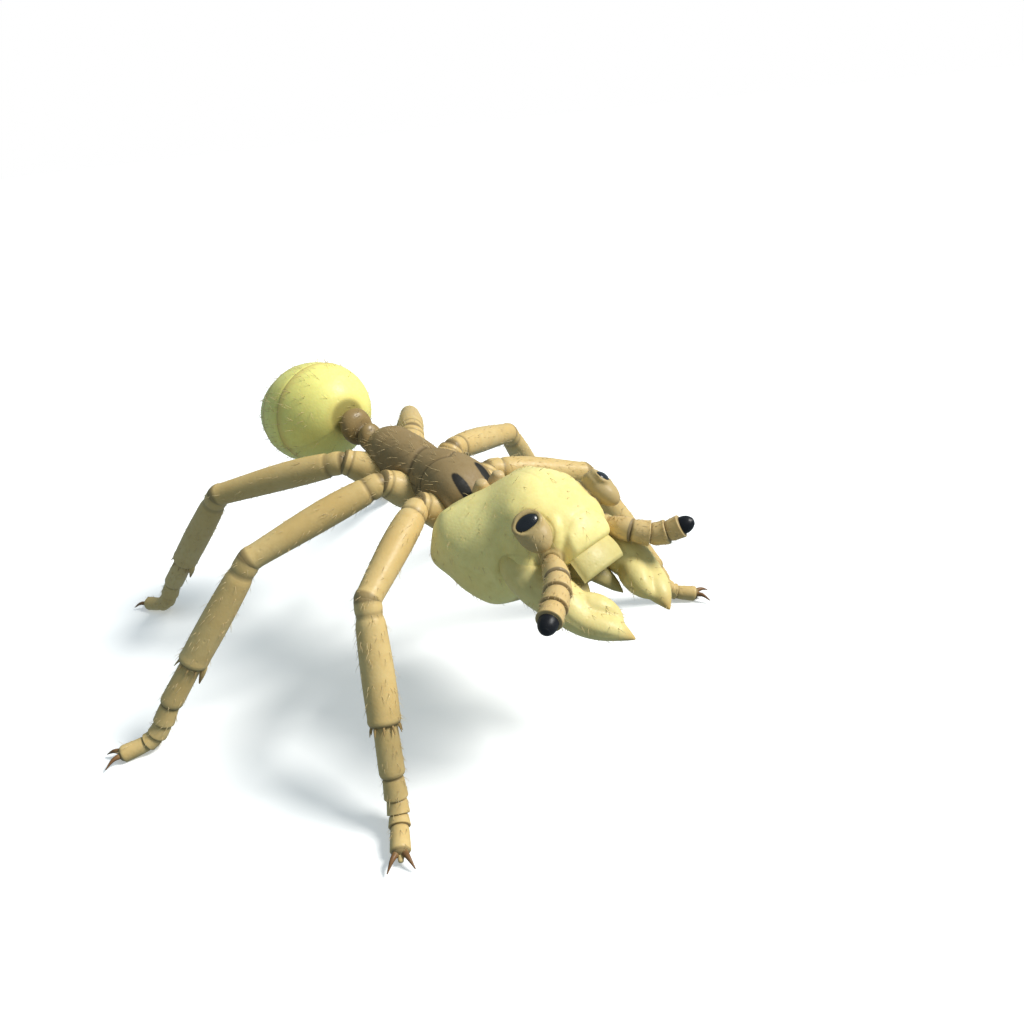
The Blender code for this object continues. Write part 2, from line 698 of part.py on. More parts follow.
def build_legs():
    for hand, side in ((1, "left"), (-1, "right")):
        for place, leg in LEGS.items():
            coxa(leg, hand, f"leg_{place}_{side}_coxa")
            femur(leg, hand, f"leg_{place}_{side}_femur")
            tibia(leg, hand, f"leg_{place}_{side}_tibia")
            tarsus(leg, hand, f"leg_{place}_{side}_tarsus")


def build_head():
    head = head_shell("head")
    extras = [clypeus()]
    for hand in (1, -1):
        extras += [frontal_ridge(hand), socket_rim(hand), eye_lobe(hand), jaw_seat(hand)]
    boolean(head, extras, "UNION")
    boolean(head, [eye(1, "cut_left", GAP * 0.6), eye(-1, "cut_right", GAP * 0.6)], "DIFFERENCE")
    return head


def main():
    for old in list(bpy.data.objects):
        bpy.data.objects.remove(old)
    thorax()
    waist_node("petiole", PETIOLE, tooth=True)
    waist_node("postpetiole", POSTPETIOLE)
    gaster()
    build_head()
    for hand, side in ((1, "left"), (-1, "right")):
        eye(hand, f"eye_{side}")
        jaw(hand, f"mandible_{side}")
        scape(hand, f"antenna_{side}_scape")
        flagellum(hand, f"antenna_{side}_flagellum")
    labrum()
    mouthparts()
    neck()
    build_legs()


main()
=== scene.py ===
"""The looks of a soldier army ant at life size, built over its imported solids.

Lengths are in millimetres until a mesh is made. The ant looks along -Y, and its left side is +X.
"""

import math

import bpy
import numpy as np
from mathutils import Matrix


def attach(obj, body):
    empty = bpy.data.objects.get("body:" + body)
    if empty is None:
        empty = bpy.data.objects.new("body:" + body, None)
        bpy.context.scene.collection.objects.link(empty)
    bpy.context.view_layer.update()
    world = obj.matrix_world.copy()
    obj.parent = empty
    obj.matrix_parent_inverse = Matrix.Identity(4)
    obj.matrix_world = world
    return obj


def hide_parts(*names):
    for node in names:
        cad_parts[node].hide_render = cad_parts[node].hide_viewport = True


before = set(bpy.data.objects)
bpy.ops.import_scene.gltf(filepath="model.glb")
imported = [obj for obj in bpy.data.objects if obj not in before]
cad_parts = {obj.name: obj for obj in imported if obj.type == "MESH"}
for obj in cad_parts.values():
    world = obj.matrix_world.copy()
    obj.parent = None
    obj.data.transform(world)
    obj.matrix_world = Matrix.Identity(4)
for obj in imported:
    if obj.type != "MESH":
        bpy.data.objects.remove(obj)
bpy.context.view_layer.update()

MM = 0.001
LEFT = np.array([1.0, 0.0, 0.0])
UP = np.array([0.0, 0.0, 1.0])

# The same driving dimensions as the solids, in millimetres. "Forward" runs from the tail to the jaws.
BODY_MIDDLE = 1.19
GAP = 0.08

THORAX_REAR = -1.42
THORAX_FRONT = 1.96
THORAX_HEIGHT = 4.55
THORAX_SLOPE = -0.181

WAIST_REAR = -2.40
GASTER_LENGTH = 3.25
GASTER_WIDTH = 2.54
GASTER_HEIGHT = 2.50
GASTER_PITCH = -7.0
GASTER_ROOT_HEIGHT = 5.30
GASTER_PLATES = (0.0, 0.34, 0.56, 0.74, 0.88, 1.0)

# The origin of the head's own axes as (forward, up), and the place on them, as (along, out), that the head's
# surface reaches from.
HEAD_MIDDLE = (3.26, 4.45)
HEAD_PITCH = 44.0
HEAD_CORE = (0.30, -0.30)
HEAD_REACH = {"front": 1.75, "back": 1.20, "side": 1.16, "out": 1.48, "under": 1.22}
HEAD_ROUNDNESS = 1.9
HEAD_CUT = 0.96
HEAD_EDGE = 0.10
EYE_RADII = (0.145, 0.215, 0.08)
EYE_LIFT = 0.06
EYE_RIM = 0.046
EYE_LOBE_RADII = (0.43, 0.30, 0.24)
PLATE_ARCH = 0.14

FEELER_RADIUS = 0.225
LASH_JOINTS = (0.30, 0.28, 0.24, 0.18)
LIMB_RADIUS = 0.25
TARSUS_JOINTS = (0.42, 0.17, 0.12, 0.09, 0.20)
TIBIA_SHARE = 0.52
TOE_LENGTH = 0.55
TOE_SETBACK = 0.20
TOE_HEIGHT = 0.13

# The root, the coxa's end, the knee and the foot of each leg, as (side, forward, up)
LEGS = {
    "front": ((0.34, 1.26, 3.96), (0.98, 1.02, 4.38), (3.15, 1.94, 3.66), (4.57, 3.70, 0.0)),
    "middle": ((0.34, 0.10, 4.14), (1.00, -0.10, 4.62), (3.80, -1.09, 3.81), (6.70, -2.42, 0.0)),
    "hind": ((0.34, -0.92, 4.34), (0.98, -1.42, 4.78), (2.89, -3.98, 4.09), (4.03, -7.65, 0.0)),
}
# The elbow of each feeler, the bend of its lash and its tip
FEELERS = {
    "right": ((-1.44, 5.08, 4.35), (-1.70, 5.30, 4.35), (-2.55, 5.77, 4.28)),
    "left": ((0.93, 4.87, 4.10), (1.20, 5.26, 4.02), (1.55, 5.80, 4.28)),
}
HANDS = (1, -1)
SIDES = ((1, "left"), (-1, "right"))

# The middles of the two painted shadows on the trunk: near-black patches on its back, beside the neck
SHADOW_PATCH_FORWARD = 1.69
SHADOW_PATCH_SIDE = 0.32

# Colours of the cuticle: the main one, the one that joints and grooves darken to, which also carries painted
# shade in the feeler sockets, along the jaws' bases, under the upper lip and in the neck's folds, and the
# second one, which on the trunk is the near-black of its painted shadows. The last number is how rough it is.
CUTICLE = {
    "head": ((0.95, 0.83, 0.35), (0.20, 0.15, 0.05), (0.52, 0.38, 0.17), 0.46),
    "jaw": ((0.80, 0.68, 0.29), (0.30, 0.22, 0.08), (0.52, 0.30, 0.09), 0.43),
    "mouth": ((0.46, 0.39, 0.17), (0.12, 0.09, 0.04), (0.60, 0.46, 0.20), 0.42),
    "feeler": ((0.70, 0.52, 0.25), (0.16, 0.12, 0.07), (0.010, 0.010, 0.013), 0.40),
    "trunk": ((0.30, 0.215, 0.105), (0.045, 0.034, 0.020), (0.014, 0.012, 0.009), 0.60),
    "waist": ((0.30, 0.21, 0.09), (0.04, 0.03, 0.02), (0.20, 0.14, 0.06), 0.36),
    "tail": ((0.94, 0.90, 0.30), (0.36, 0.30, 0.09), (0.74, 0.56, 0.16), 0.42),
    "leg": ((0.68, 0.50, 0.22), (0.16, 0.11, 0.05), (0.20, 0.10, 0.04), 0.45),
    "neck": ((0.60, 0.46, 0.25), (0.14, 0.10, 0.06), (0.44, 0.32, 0.16), 0.48),
}


# Small helpers for vectors and curves


def point(side, forward, up):
    """A point of the ant in the part's own axes, in millimetres."""
    return np.array([side, -forward - BODY_MIDDLE, up], float)


def unit(vector):
    return vector / np.linalg.norm(vector, axis=-1, keepdims=True)


def norms(vectors):
    """The length of each row."""
    return np.linalg.norm(vectors, axis=1)


def off_line(reach, way):
    """How far each place lies from the line through the origin along way."""
    return norms(reach - np.outer(reach @ way, way))


def power(value, exponent):
    return np.sign(value) * np.abs(value) ** exponent


def circle(count):
    """Angles spread evenly all the way round."""
    return np.linspace(0, 2 * math.pi, count, endpoint=False)


def soft_step(value, low, high):
    """0 below low, 1 above high and smooth between them. high may be the lower one."""
    share = np.clip((value - low) / (high - low), 0, 1)
    return share * share * (3 - 2 * share)


def groove(distance, width):
    """A soft line: 1 where the distance is nought, fading over the width."""
    return np.exp(-((distance / width) ** 2))


def smooth(keys, count):
    """Samples of a smooth curve through the rows of keys, spaced evenly along their first three columns."""
    keys = np.asarray(keys, float)
    along = np.concatenate([[0], np.cumsum(norms(np.diff(keys[:, :3], axis=0)))])
    slopes = np.gradient(keys, along, axis=0)
    t = np.linspace(0, along[-1], count)
    i = np.clip(np.searchsorted(along, t, side="right") - 1, 0, len(keys) - 2)
    h = (along[i + 1] - along[i])[:, None]
    s = (t - along[i])[:, None] / h
    near = (2 * s**3 - 3 * s**2 + 1) * keys[i] + (s**3 - 2 * s**2 + s) * h * slopes[i]
    return near + (3 * s**2 - 2 * s**3) * keys[i + 1] + (s**3 - s**2) * h * slopes[i + 1]


def shares_of(path):
    """The share of a fine path's length at each of its points."""
    steps = norms(np.diff(path, axis=0))
    return np.concatenate([[0], np.cumsum(steps)]) / steps.sum()


def along_path(path, shares):
    """Points at shares of a fine path's length."""
    at = shares_of(path)
    return np.column_stack([np.interp(shares, at, path[:, k]) for k in range(3)])


def near_path(points, path):
    """For each point, the share of the path's length at its nearest place, and the way out from there."""
    at = shares_of(path)
    nearest = np.empty(len(points), int)
    block = 4000
    for k in range(0, len(points), block):
        gaps = points[k : k + block, None] - path[None]
        nearest[k : k + block] = np.linalg.norm(gaps, axis=2).argmin(axis=1)
    return at[nearest], points - path[nearest]


# Forms: a form is its points, its faces of four corners (a triangle repeats its last) and its masks.


def form(rings, masks=None):
    """A closed form through rings of as many points each. A mask has a value for each ring or each point."""
    rings = np.asarray(rings, float)
    rows, sides = rings.shape[:2]
    i = np.arange(rows * sides).reshape(rows, sides)
    j = np.roll(i, -1, axis=1)
    faces = [np.stack([i[:-1], j[:-1], j[1:], i[1:]], -1).reshape(-1, 4)]
    first, last = np.full(sides, rows * sides), np.full(sides, rows * sides + 1)
    faces.append(np.stack([j[0], i[0], first, first], -1))
    faces.append(np.stack([i[-1], j[-1], last, last], -1))
    points = np.vstack([rings.reshape(-1, 3), rings[0].mean(axis=0), rings[-1].mean(axis=0)])
    made = {}
    for name, values in (masks or {}).items():
        values = np.asarray(values, float)
        if values.ndim == 1:
            values = np.repeat(values[:, None], sides, axis=1)
        made[name] = np.concatenate([values.ravel(), [values[0].mean(), values[-1].mean()]])
    return outward(points, np.vstack(faces)), made


def outward(points, faces):
    """The form with its faces turned, if need be, so that they face out."""
    corners = points[triangles(faces)]
    volume = np.einsum("ij,ij->i", corners[:, 0], np.cross(corners[:, 1], corners[:, 2])).sum()
    if volume < 0:
        whole = faces[:, 2] != faces[:, 3]
        turned = faces[:, [0, 3, 2, 1]]
        turned[~whole] = faces[~whole][:, [1, 0, 2, 2]]
        faces = turned
    return points, faces


def triangles(faces):
    return np.vstack([faces[:, :3], faces[faces[:, 2] != faces[:, 3]][:, [0, 2, 3]]])


def merged(forms):
    """Several forms as one, with the masks that any of them has."""
    names = {name for _, masks in forms for name in masks}
    points, faces, count = [], [], 0
    masks = {name: [] for name in names}
    for (some, theirs), own in forms:
        points.append(some)
        faces.append(theirs + count)
        count += len(some)
        for name in names:
            masks[name].append(own.get(name, np.zeros(len(some))))
    return (np.vstack(points), np.vstack(faces)), {name: np.concatenate(v) for name, v in masks.items()}


def normals_of(points, faces):
    """The way out of the form at each point, where larger faces count for more."""
    corners = triangles(faces)
    a, b, c = (points[corners[:, k]] for k in range(3))
    cross = np.cross(b - a, c - a)
    total = np.zeros_like(points)
    for corner in range(3):
        for axis in range(3):
            total[:, axis] += np.bincount(corners[:, corner], weights=cross[:, axis], minlength=len(points))
    return total / np.maximum(norms(total), 1e-12)[:, None]


def lifted(made, lift, masks):
    """The form with its points moved out by lift, and its masks."""
    (points, faces), _ = made
    return (points + normals_of(points, faces) * lift[:, None], faces), masks


class Skin:
    """The marks of a form's surface: how far it is lifted, and its masks. A groove is dark over a share of
    its width."""

    def __init__(self, bare, share):
        self.bare, self.share = bare, share
        self.lift, self.dark, self.second = np.zeros((3, len(bare[0][0])))

    def cut(self, distance, width, depth, where=1.0, shade=0.5):
        self.lift = self.lift - depth * groove(distance, width) * where
        self.darken(shade * groove(distance, width * self.share) * where)

    def darken(self, mask):
        self.dark = np.maximum(self.dark, mask)

    def tint(self, mask):
        self.second = np.maximum(self.second, mask)

    def done(self):
        return lifted(self.bare, self.lift, {"dark": self.dark, "second": self.second})


def plain_mesh(name, points, faces):
    data = bpy.data.meshes.new(name)
    data.from_pydata(points.tolist(), [], [f[:3] if f[2] == f[3] else f for f in faces.tolist()])
    return data


def placed(name, data):
    """A new object of the data, in the scene."""
    made = bpy.data.objects.new(name, data)
    bpy.context.scene.collection.objects.link(made)
    return made


def fused(forms, voxel, rounds):
    """The closed forms melted into one skin of even small faces, with its creases softened."""
    (points, faces), _ = merged([(f[0], {}) for f in forms])
    made = placed("fusing", plain_mesh("fusing", points, faces))
    melt = made.modifiers.new("melt", "REMESH")
    melt.mode, melt.voxel_size, melt.adaptivity = "VOXEL", voxel, 0.0
    soften = made.modifiers.new("soften", "SMOOTH")
    soften.factor, soften.iterations = 0.5, rounds
    bpy.context.view_layer.update()
    done = made.evaluated_get(bpy.context.evaluated_depsgraph_get()).to_mesh()
    points = np.empty(len(done.vertices) * 3, np.float32)
    done.vertices.foreach_get("co", points)
    faces = [list(p.vertices) for p in done.polygons]
    faces = np.array([f if len(f) == 4 else [*f, f[-1]] for f in faces])
    bpy.data.objects.remove(made)
    return points.reshape(-1, 3).astype(float), faces


def swept(path, radii, sides=22, flat=1.0, across=UP):
    """Rings round a path. radii is the half-width, and flat the share of it that is the half-height."""
    path = np.asarray(path, float)
    tangents = unit(np.gradient(path, axis=0))
    upward = np.asarray(across, float)
    angles = circle(sides)
    rings = []
    for place, tangent, radius in zip(path, tangents, radii):
        upward = unit(upward - tangent * (upward @ tangent))
        sideways = np.outer(np.cos(angles), np.cross(tangent, upward))
        rings.append(place + radius * (sideways + flat * np.outer(np.sin(angles), upward)))
    return np.array(rings)


def capped(path, radii, start=0.6, end=0.6, steps=6):
    """The path and radii with rounded ends. start and end are the lengths of the caps, in radii. The first
    ring of a cap is small, but not a point."""
    smallest = 0.12
    path, radii = np.asarray(path, float), np.asarray(radii, float)
    turn = np.linspace(smallest, math.pi / 2, steps, endpoint=False)
    first, last = unit(path[1] - path[0]), unit(path[-1] - path[-2])
    before = path[0] - np.outer(np.cos(turn), first) * radii[0] * start
    after = path[-1] + np.outer(np.cos(turn[::-1]), last) * radii[-1] * end
    sizes = np.concatenate([radii[0] * np.sin(turn), radii, radii[-1] * np.sin(turn[::-1])])
    return np.vstack([before, path, after]), sizes


def rod(keys, radii, count=14, sides=10, second=None, **more):
    """A small rounded rod through a few keys, its radii spread along it. second is the strength of its second
    colour, and the shares of its length where that starts and is full."""
    path = smooth(keys, count)
    sizes = np.interp(np.linspace(0, 1, count), np.linspace(0, 1, len(radii)), radii)
    rings = swept(*capped(path, sizes, steps=4), sides, **more)
    if second is None:
        return form(rings)
    strength, low, high = second
    return form(rings, {"second": strength * soft_step(np.linspace(0, 1, len(rings)), low, high)})


def limb(path, radii, dark, second=None, start=0.6, end=0.6, sides=36):
    """A limb's form with rounded ends and its masks spread along it."""
    extra = 6
    masks = {"dark": np.pad(dark, extra, mode="edge")}
    if second is not None:
        masks["second"] = np.pad(second, extra, mode="edge")
    return form(swept(*capped(path, radii, start, end, extra), sides), masks)


def cups(lengths, profile, sharp):
    """Shares along a stretch of joints, each cup's relative radius there, and how near a rim each lies."""
    local, size = np.array(profile)
    starts = np.cumsum([0, *lengths[:-1]])
    shares = np.concatenate([start + local * length for start, length in zip(starts, lengths)])
    rim = np.maximum(groove(local - 1.0, sharp[0]), groove(local, sharp[1]))
    return shares, np.tile(size, len(lengths)), np.tile(rim, len(lengths))


def ball(middle, radii, axes, rows=24, sides=36):
    """Rings of an ellipsoid with its poles on the first axis."""
    turn = np.linspace(0, math.pi, rows + 2)[1:-1]
    around = circle(sides)
    axes = np.asarray(axes)
    return (np.asarray(middle) + np.cos(turn)[:, None, None] * axes[0] * radii[0]
            + (np.sin(turn)[:, None] * np.cos(around))[..., None] * axes[1] * radii[1]
            + (np.sin(turn)[:, None] * np.sin(around))[..., None] * axes[2] * radii[2])


# Materials


class Nodes:
    """A short way to lay out a material's nodes. In the names of inputs, _ stands for a space."""

    def __init__(self, name):
        self.material = bpy.data.materials.new(name)
        self.material.use_nodes = True
        self.tree = self.material.node_tree

    def put(self, node, **inputs):
        for name, value in inputs.items():
            self.join(node.inputs[name.replace("_", " ")], value)

    def join(self, socket, value):
        if isinstance(value, bpy.types.NodeSocket):
            self.tree.links.new(value, socket)
        else:
            socket.default_value = value

    def add(self, kind, settings=None, **inputs):
        node = self.tree.nodes.new(kind)
        for name, value in (settings or {}).items():
            setattr(node, name, value)
        self.put(node, **inputs)
        return node

    def look(self, **inputs):
        """Sets the inputs of the material's own shader."""
        self.put(self.tree.nodes["Principled BSDF"], **inputs)

    def noise(self, scale, detail=3.0):
        place = self.add("ShaderNodeTexCoord").outputs["Object"]
        node = self.add("ShaderNodeTexNoise", Vector=place, Scale=scale, Detail=detail, Roughness=0.55)
        return node.outputs["Fac"]

    def cells(self, scale, feature="F1"):
        place = self.add("ShaderNodeTexCoord").outputs["Object"]
        node = self.add("ShaderNodeTexVoronoi", {"feature": feature}, Vector=place, Scale=scale)
        return node.outputs["Distance"]

    def ranged(self, value, low, high, to_low=0.0, to_high=1.0):
        range_of = {"From_Min": low, "From_Max": high, "To_Min": to_low, "To_Max": to_high}
        return self.add("ShaderNodeMapRange", Value=value, **range_of).outputs["Result"]

    def total(self, a, b):
        node = self.add("ShaderNodeMath", {"operation": "ADD"})
        self.join(node.inputs[0], a)
        self.join(node.inputs[1], b)
        return node.outputs[0]

    def mask(self, name):
        return self.add("ShaderNodeAttribute", {"attribute_name": name}).outputs["Fac"]

    def mixed(self, factor, a, b):
        node = self.add("ShaderNodeMix", {"data_type": "RGBA"}, Factor=factor)
        for place, colour in ((6, a), (7, b)):
            known = isinstance(colour, bpy.types.NodeSocket)
            self.join(node.inputs[place], colour if known else (*colour, 1))
        return node.outputs[2]

    def bump(self, height, distance, strength, **under):
        node = self.add("ShaderNodeBump", Height=height, Distance=distance, Strength=strength, **under)
        return node.outputs["Normal"]


def cuticle(kind):
    """Insect cuticle: mottled colour, darker joints and grooves, painted shade in some hollows and creases, a
    second colour that on the trunk is painted shadow, fine pits and a thin gloss. The scales of its patterns
    are for each metre, and the depths of its grain and pits are in metres."""
    main, dark, second, rough = CUTICLE[kind]
    make = Nodes(kind + "_cuticle")
    blotches = make.ranged(make.noise(700.0, 4.0), 0.35, 0.70)
    freckles = make.ranged(make.noise(6500.0, 3.0), 0.45, 0.75, 0.0, 0.6)
    colour = make.mixed(blotches, main, (main[0] * 0.93, main[1] * 0.87, main[2] * 0.76))
    colour = make.mixed(freckles, colour, (main[0] * 0.86, main[1] * 0.80, main[2] * 0.68))
    colour = make.mixed(make.mask("second"), colour, second)
    colour = make.mixed(make.mask("dark"), colour, dark)
    grain = make.noise(16000.0, 2.0)
    net = make.ranged(make.cells(17000.0), 0.0, 0.6)
    pits = make.ranged(make.cells(4300.0), 0.02, 0.16)
    fine = make.bump(make.total(net, grain), 0.000004, 0.35)
    pale = sum(main) > 1.0
    make.look(
        Base_Color=colour,
        Roughness=make.ranged(grain, 0.3, 0.7, rough - 0.07, rough + 0.09),
        Normal=make.bump(pits, 0.000010, 0.45, Normal=fine),
        IOR=1.45,
        Specular_IOR_Level=0.30,
        Coat_Weight=0.04,
        Coat_Roughness=0.30,
        Subsurface_Weight=0.10 if pale else 0.03,
        Subsurface_Radius=(1.0, 0.65, 0.30),
        Subsurface_Scale=0.00012,
    )
    return make.material


def eye_material():
    """A black glossy eye with the faint net of its facets."""
    make = Nodes("eye_glass")
    tint = make.ranged(make.noise(2600.0), 0.3, 0.7)
    net = make.cells(26000.0, "DISTANCE_TO_EDGE")
    make.look(
        Base_Color=make.mixed(tint, (0.004, 0.005, 0.008), (0.010, 0.011, 0.016)),
        Roughness=make.ranged(net, 0.0, 0.3, 0.34, 0.22),
        Normal=make.bump(make.ranged(net, 0.0, 0.25), 0.000003, 0.35),
        Coat_Weight=0.25,
        Coat_Roughness=0.12,
    )
    return make.material


def hair_material():
    """Fine straw-coloured hair."""
    make = Nodes("fine_hair")
    tint = make.ranged(make.noise(5000.0), 0.3, 0.7)
    make.look(
        Base_Color=make.mixed(tint, (0.82, 0.66, 0.36), (0.60, 0.44, 0.21)),
        Roughness=make.ranged(tint, 0.0, 1.0, 0.30, 0.45),
    )
    return make.material


def floor_material():
    """A matt floor with a faint glow, which lifts its lit parts to white as in the picture."""
    make = Nodes("pale_floor")
    tint = make.ranged(make.noise(60.0, 5.0), 0.3, 0.7)
    make.look(
        Base_Color=make.mixed(tint, (0.93, 0.93, 0.93), (0.90, 0.90, 0.905)),
        Roughness=make.ranged(tint, 0.0, 1.0, 0.75, 0.85),
        Specular_IOR_Level=0.1,
        Emission_Color=(1, 1, 1, 1),
        Emission_Strength=0.30,
    )
    return make.material


MATERIALS = {kind: cuticle(kind) for kind in CUTICLE}
MATERIALS["eye"] = eye_material()
MATERIALS["hair"] = hair_material()


def piece(name, made, kind, slot, *nodes):
    """Makes an object of a form, and hides the imported parts that it stands for."""
    (points, faces), masks = made
    data = plain_mesh(name, points * MM, faces)
    for mask in ("dark", "second"):
        values = np.asarray(masks.get(mask, np.zeros(len(points))), np.float32)
        data.attributes.new(mask, "FLOAT", "POINT").data.foreach_set("value", np.clip(values, 0, 1))
    data.materials.append(MATERIALS[kind])
    data.shade_smooth()
    thing = placed(name, data)
    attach(thing, "root")
    if nodes:
        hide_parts(*nodes)


# The trunk, waist and tail


def body_rings(keys, count, sides, exponent=0.92):
    """Rings from keys of (forward, middle height, half-width, rise, depth), and how far forward and at which
    angle each point lies."""
    keys = np.asarray(keys, float)
    rows = smooth(np.column_stack([keys[:, 0], keys[:, 1] * 0, keys[:, 1] * 0, keys[:, 1:]]), count)
    angles = circle(sides)
    wide, high = power(np.cos(angles), exponent), power(np.sin(angles), exponent)
    up = np.where(high > 0, high * rows[:, 5:6], high * rows[:, 6:7])
    forward = np.repeat(rows[:, :1], sides, 1)
    rings = np.stack([wide * rows[:, 4:5], -forward - BODY_MIDDLE, rows[:, 3:4] + up], -1)
    return rings, forward, np.repeat(angles[None], count, 0)


def trunk_axis(forward):
    return THORAX_HEIGHT + THORAX_SLOPE * forward


def leg_points(leg, hand):
    return [point(*place) * (hand, 1, 1) for place in leg]


# The trunk's outline: share of its length, half-width, rise and depth
THORAX_SHAPE = (
    (0.0, 0.26, 0.14, 0.24), (0.025, 0.42, 0.36, 0.44), (0.10, 0.55, 0.56, 0.58), (0.25, 0.58, 0.63, 0.63),
    (0.40, 0.56, 0.62, 0.65), (0.48, 0.55, 0.58, 0.66), (0.60, 0.62, 0.68, 0.68), (0.78, 0.70, 0.72, 0.64),
    (0.91, 0.60, 0.56, 0.52), (0.98, 0.40, 0.33, 0.38), (1.0, 0.26, 0.20, 0.28),
)
# Its breathing holes: side, forward, height over the trunk's axis, and radius
BREATHING_HOLES = ((0.50, -0.72, 0.22, 0.055), (0.55, 0.40, 0.28, 0.038))


def thorax():
    """The fused trunk, with the sutures of its plates, its breathing holes, the seats of the legs and two
    painted shadows on its back.
    """
    keys = []
    for share, half, rise, depth in THORAX_SHAPE:
        forward = THORAX_REAR + share * (THORAX_FRONT - THORAX_REAR)
        keys.append((forward, trunk_axis(forward), half, rise, depth))
    rings, _, _ = body_rings(keys, 200, 150)
    bare = form(rings)
    points = bare[0][0]
    side, forward, flank = points[:, 0], -points[:, 1] - BODY_MIDDLE, np.abs(points[:, 0])
    height = points[:, 2] - trunk_axis(forward)
    skin = Skin(bare, 0.8)
    # The rear edge of the neck shield, and the hollow between the trunk's two humps
    skin.cut(forward - (1.02 - 0.55 * flank), 0.030, 0.028, soft_step(height, -0.35, -0.10))
    skin.cut(forward - (0.19 + 0.10 * flank), 0.060, 0.0315, soft_step(height, -0.05, 0.20))
    # A slanting suture over the middle leg, one over the hind leg, and the long one between back and flank
    where = soft_step(height, 0.30, 0.05) * soft_step(height, -0.60, -0.45)
    skin.cut(forward - (0.52 + 0.45 * height), 0.026, 0.021, where)
    where = soft_step(height, 0.06, -0.05) * soft_step(height, -0.62, -0.45)
    skin.cut(forward - (-0.28 - 0.30 * height), 0.024, 0.0196, where)
    where = soft_step(forward, 0.55, 0.45) * soft_step(forward, -1.30, -1.15)
    skin.cut(height - (0.02 + 0.10 * forward), 0.024, 0.0196, where)
    # The middle line of the underside
    skin.cut(side, 0.016, 0.0112, soft_step(height, -0.30, -0.45))
    for hand in HANDS:
        for beside, ahead, above, ring in BREATHING_HOLES:
            away = norms(points - point(beside * hand, ahead, trunk_axis(ahead) + above))
            skin.lift += 0.020 * groove(away - ring, ring * 0.35) - 0.030 * groove(away, ring * 0.55)
            skin.darken(0.9 * groove(away, ring * 0.7))
        # The swelling over the hind leg, with a groove round it, and the shoulder
        bulla = norms((points - point(0.50 * hand, -1.05, trunk_axis(-1.05) - 0.26)) * (1, 1, 1.4))
        skin.lift += 0.055 * groove(bulla, 0.20)
        skin.cut(bulla - 0.26, 0.025, 0.0126, soft_step(flank, 0.2, 0.3))
        shoulder = norms(points - point(0.45 * hand, 1.45, trunk_axis(1.45) + 0.42))
        skin.lift += 0.030 * groove(shoulder, 0.30)
        # Painted shadow: a near-black patch on the back, in the trunk's second colour
        patch = np.hypot((forward - SHADOW_PATCH_FORWARD) / 0.28, (side - SHADOW_PATCH_SIDE * hand) / 0.11)
        skin.tint(soft_step(patch, 1.08, 0.90) * soft_step(height, 0.0, 0.1))
        for leg in LEGS.values():
            seat, tip, _, _ = leg_points(leg, hand)
            reach = points - seat
            beside = off_line(reach, unit(tip - seat))
            near = soft_step(norms(reach), 0.75, 0.55) * soft_step(side * hand, 0.1, 0.25)
            skin.lift += 0.045 * groove(beside - 0.44, 0.07) * near
            skin.darken(0.6 * soft_step(beside, 0.43, 0.36) * near)
    skin.darken(0.7 * soft_step(forward, THORAX_FRONT - 0.10, THORAX_FRONT))
    made = skin.done()
    piece("trunk_shell", made, "trunk", "trunk", "thorax")
    return made


PETIOLE = (
    (-1.30, 4.74, 0.15, 0.12, 0.15), (-1.48, 4.82, 0.19, 0.14, 0.17), (-1.55, 4.84, 0.26, 0.26, 0.24),
    (-1.70, 4.89, 0.29, 0.38, 0.28), (-1.83, 4.94, 0.26, 0.28, 0.26), (-1.92, 4.98, 0.18, 0.16, 0.18),
    (-2.02, 5.02, 0.13, 0.12, 0.13),
)
POSTPETIOLE = (
    (-1.90, 4.97, 0.13, 0.12, 0.13), (-1.97, 5.00, 0.21, 0.18, 0.21), (-2.03, 5.03, 0.31, 0.31, 0.31),
    (-2.18, 5.10, 0.39, 0.41, 0.38), (-2.33, 5.17, 0.35, 0.34, 0.34), (-2.42, 5.21, 0.24, 0.22, 0.24),
    (-2.58, 5.28, 0.18, 0.17, 0.18),
)


def waist():
    """The two small joints of the waist, each a dark-rimmed bead, the first with a blunt tooth below."""
    beads = []
    for name, keys in (("petiole", PETIOLE), ("postpetiole", POSTPETIOLE)):
        rings, forward, angle = body_rings(keys, 90, 72)
        ends = [soft_step(forward, keys[2][0], keys[0][0]), soft_step(forward, keys[-3][0], keys[-1][0])]
        dark = np.clip(0.9 * np.maximum(*ends), 0, 1)
        made = form(rings, {"dark": dark, "second": 0.6 * groove(np.sin(angle) + 0.25, 0.06)})
        (points, _), masks = made
        middle = point(0.9 * keys[3][2], keys[3][0], keys[3][1])
        away = np.minimum(norms(points - middle), norms(points - middle * (-1, 1, 1)))
        lift = 0.016 * groove(away - 0.035, 0.014) - 0.020 * groove(away, 0.02)
        masks["dark"] = np.maximum(masks["dark"], 0.9 * groove(away, 0.025))
        made = lifted(made, lift, masks)
        if name == "petiole":
            ahead, height, _, _, depth = keys[2]
            tooth = [point(0, ahead, height - depth * 0.4), point(0, ahead + 0.03, height - depth - 0.13)]
            made = merged([made, rod(tooth, (0.16, 0.14, 0.05), sides=16, across=LEFT)])
        piece(name + "_shell", made, "waist", "waist", name)
        beads.append(made)
    return merged(beads)


# How far along a plate of the tail, and its relative radius there
GASTER_SWELL = (0, 0.03, 0.12, 0.6, 0.93, 0.985, 1), (0.962, 0.966, 0.984, 1.0, 1.012, 1.012, 0.985)


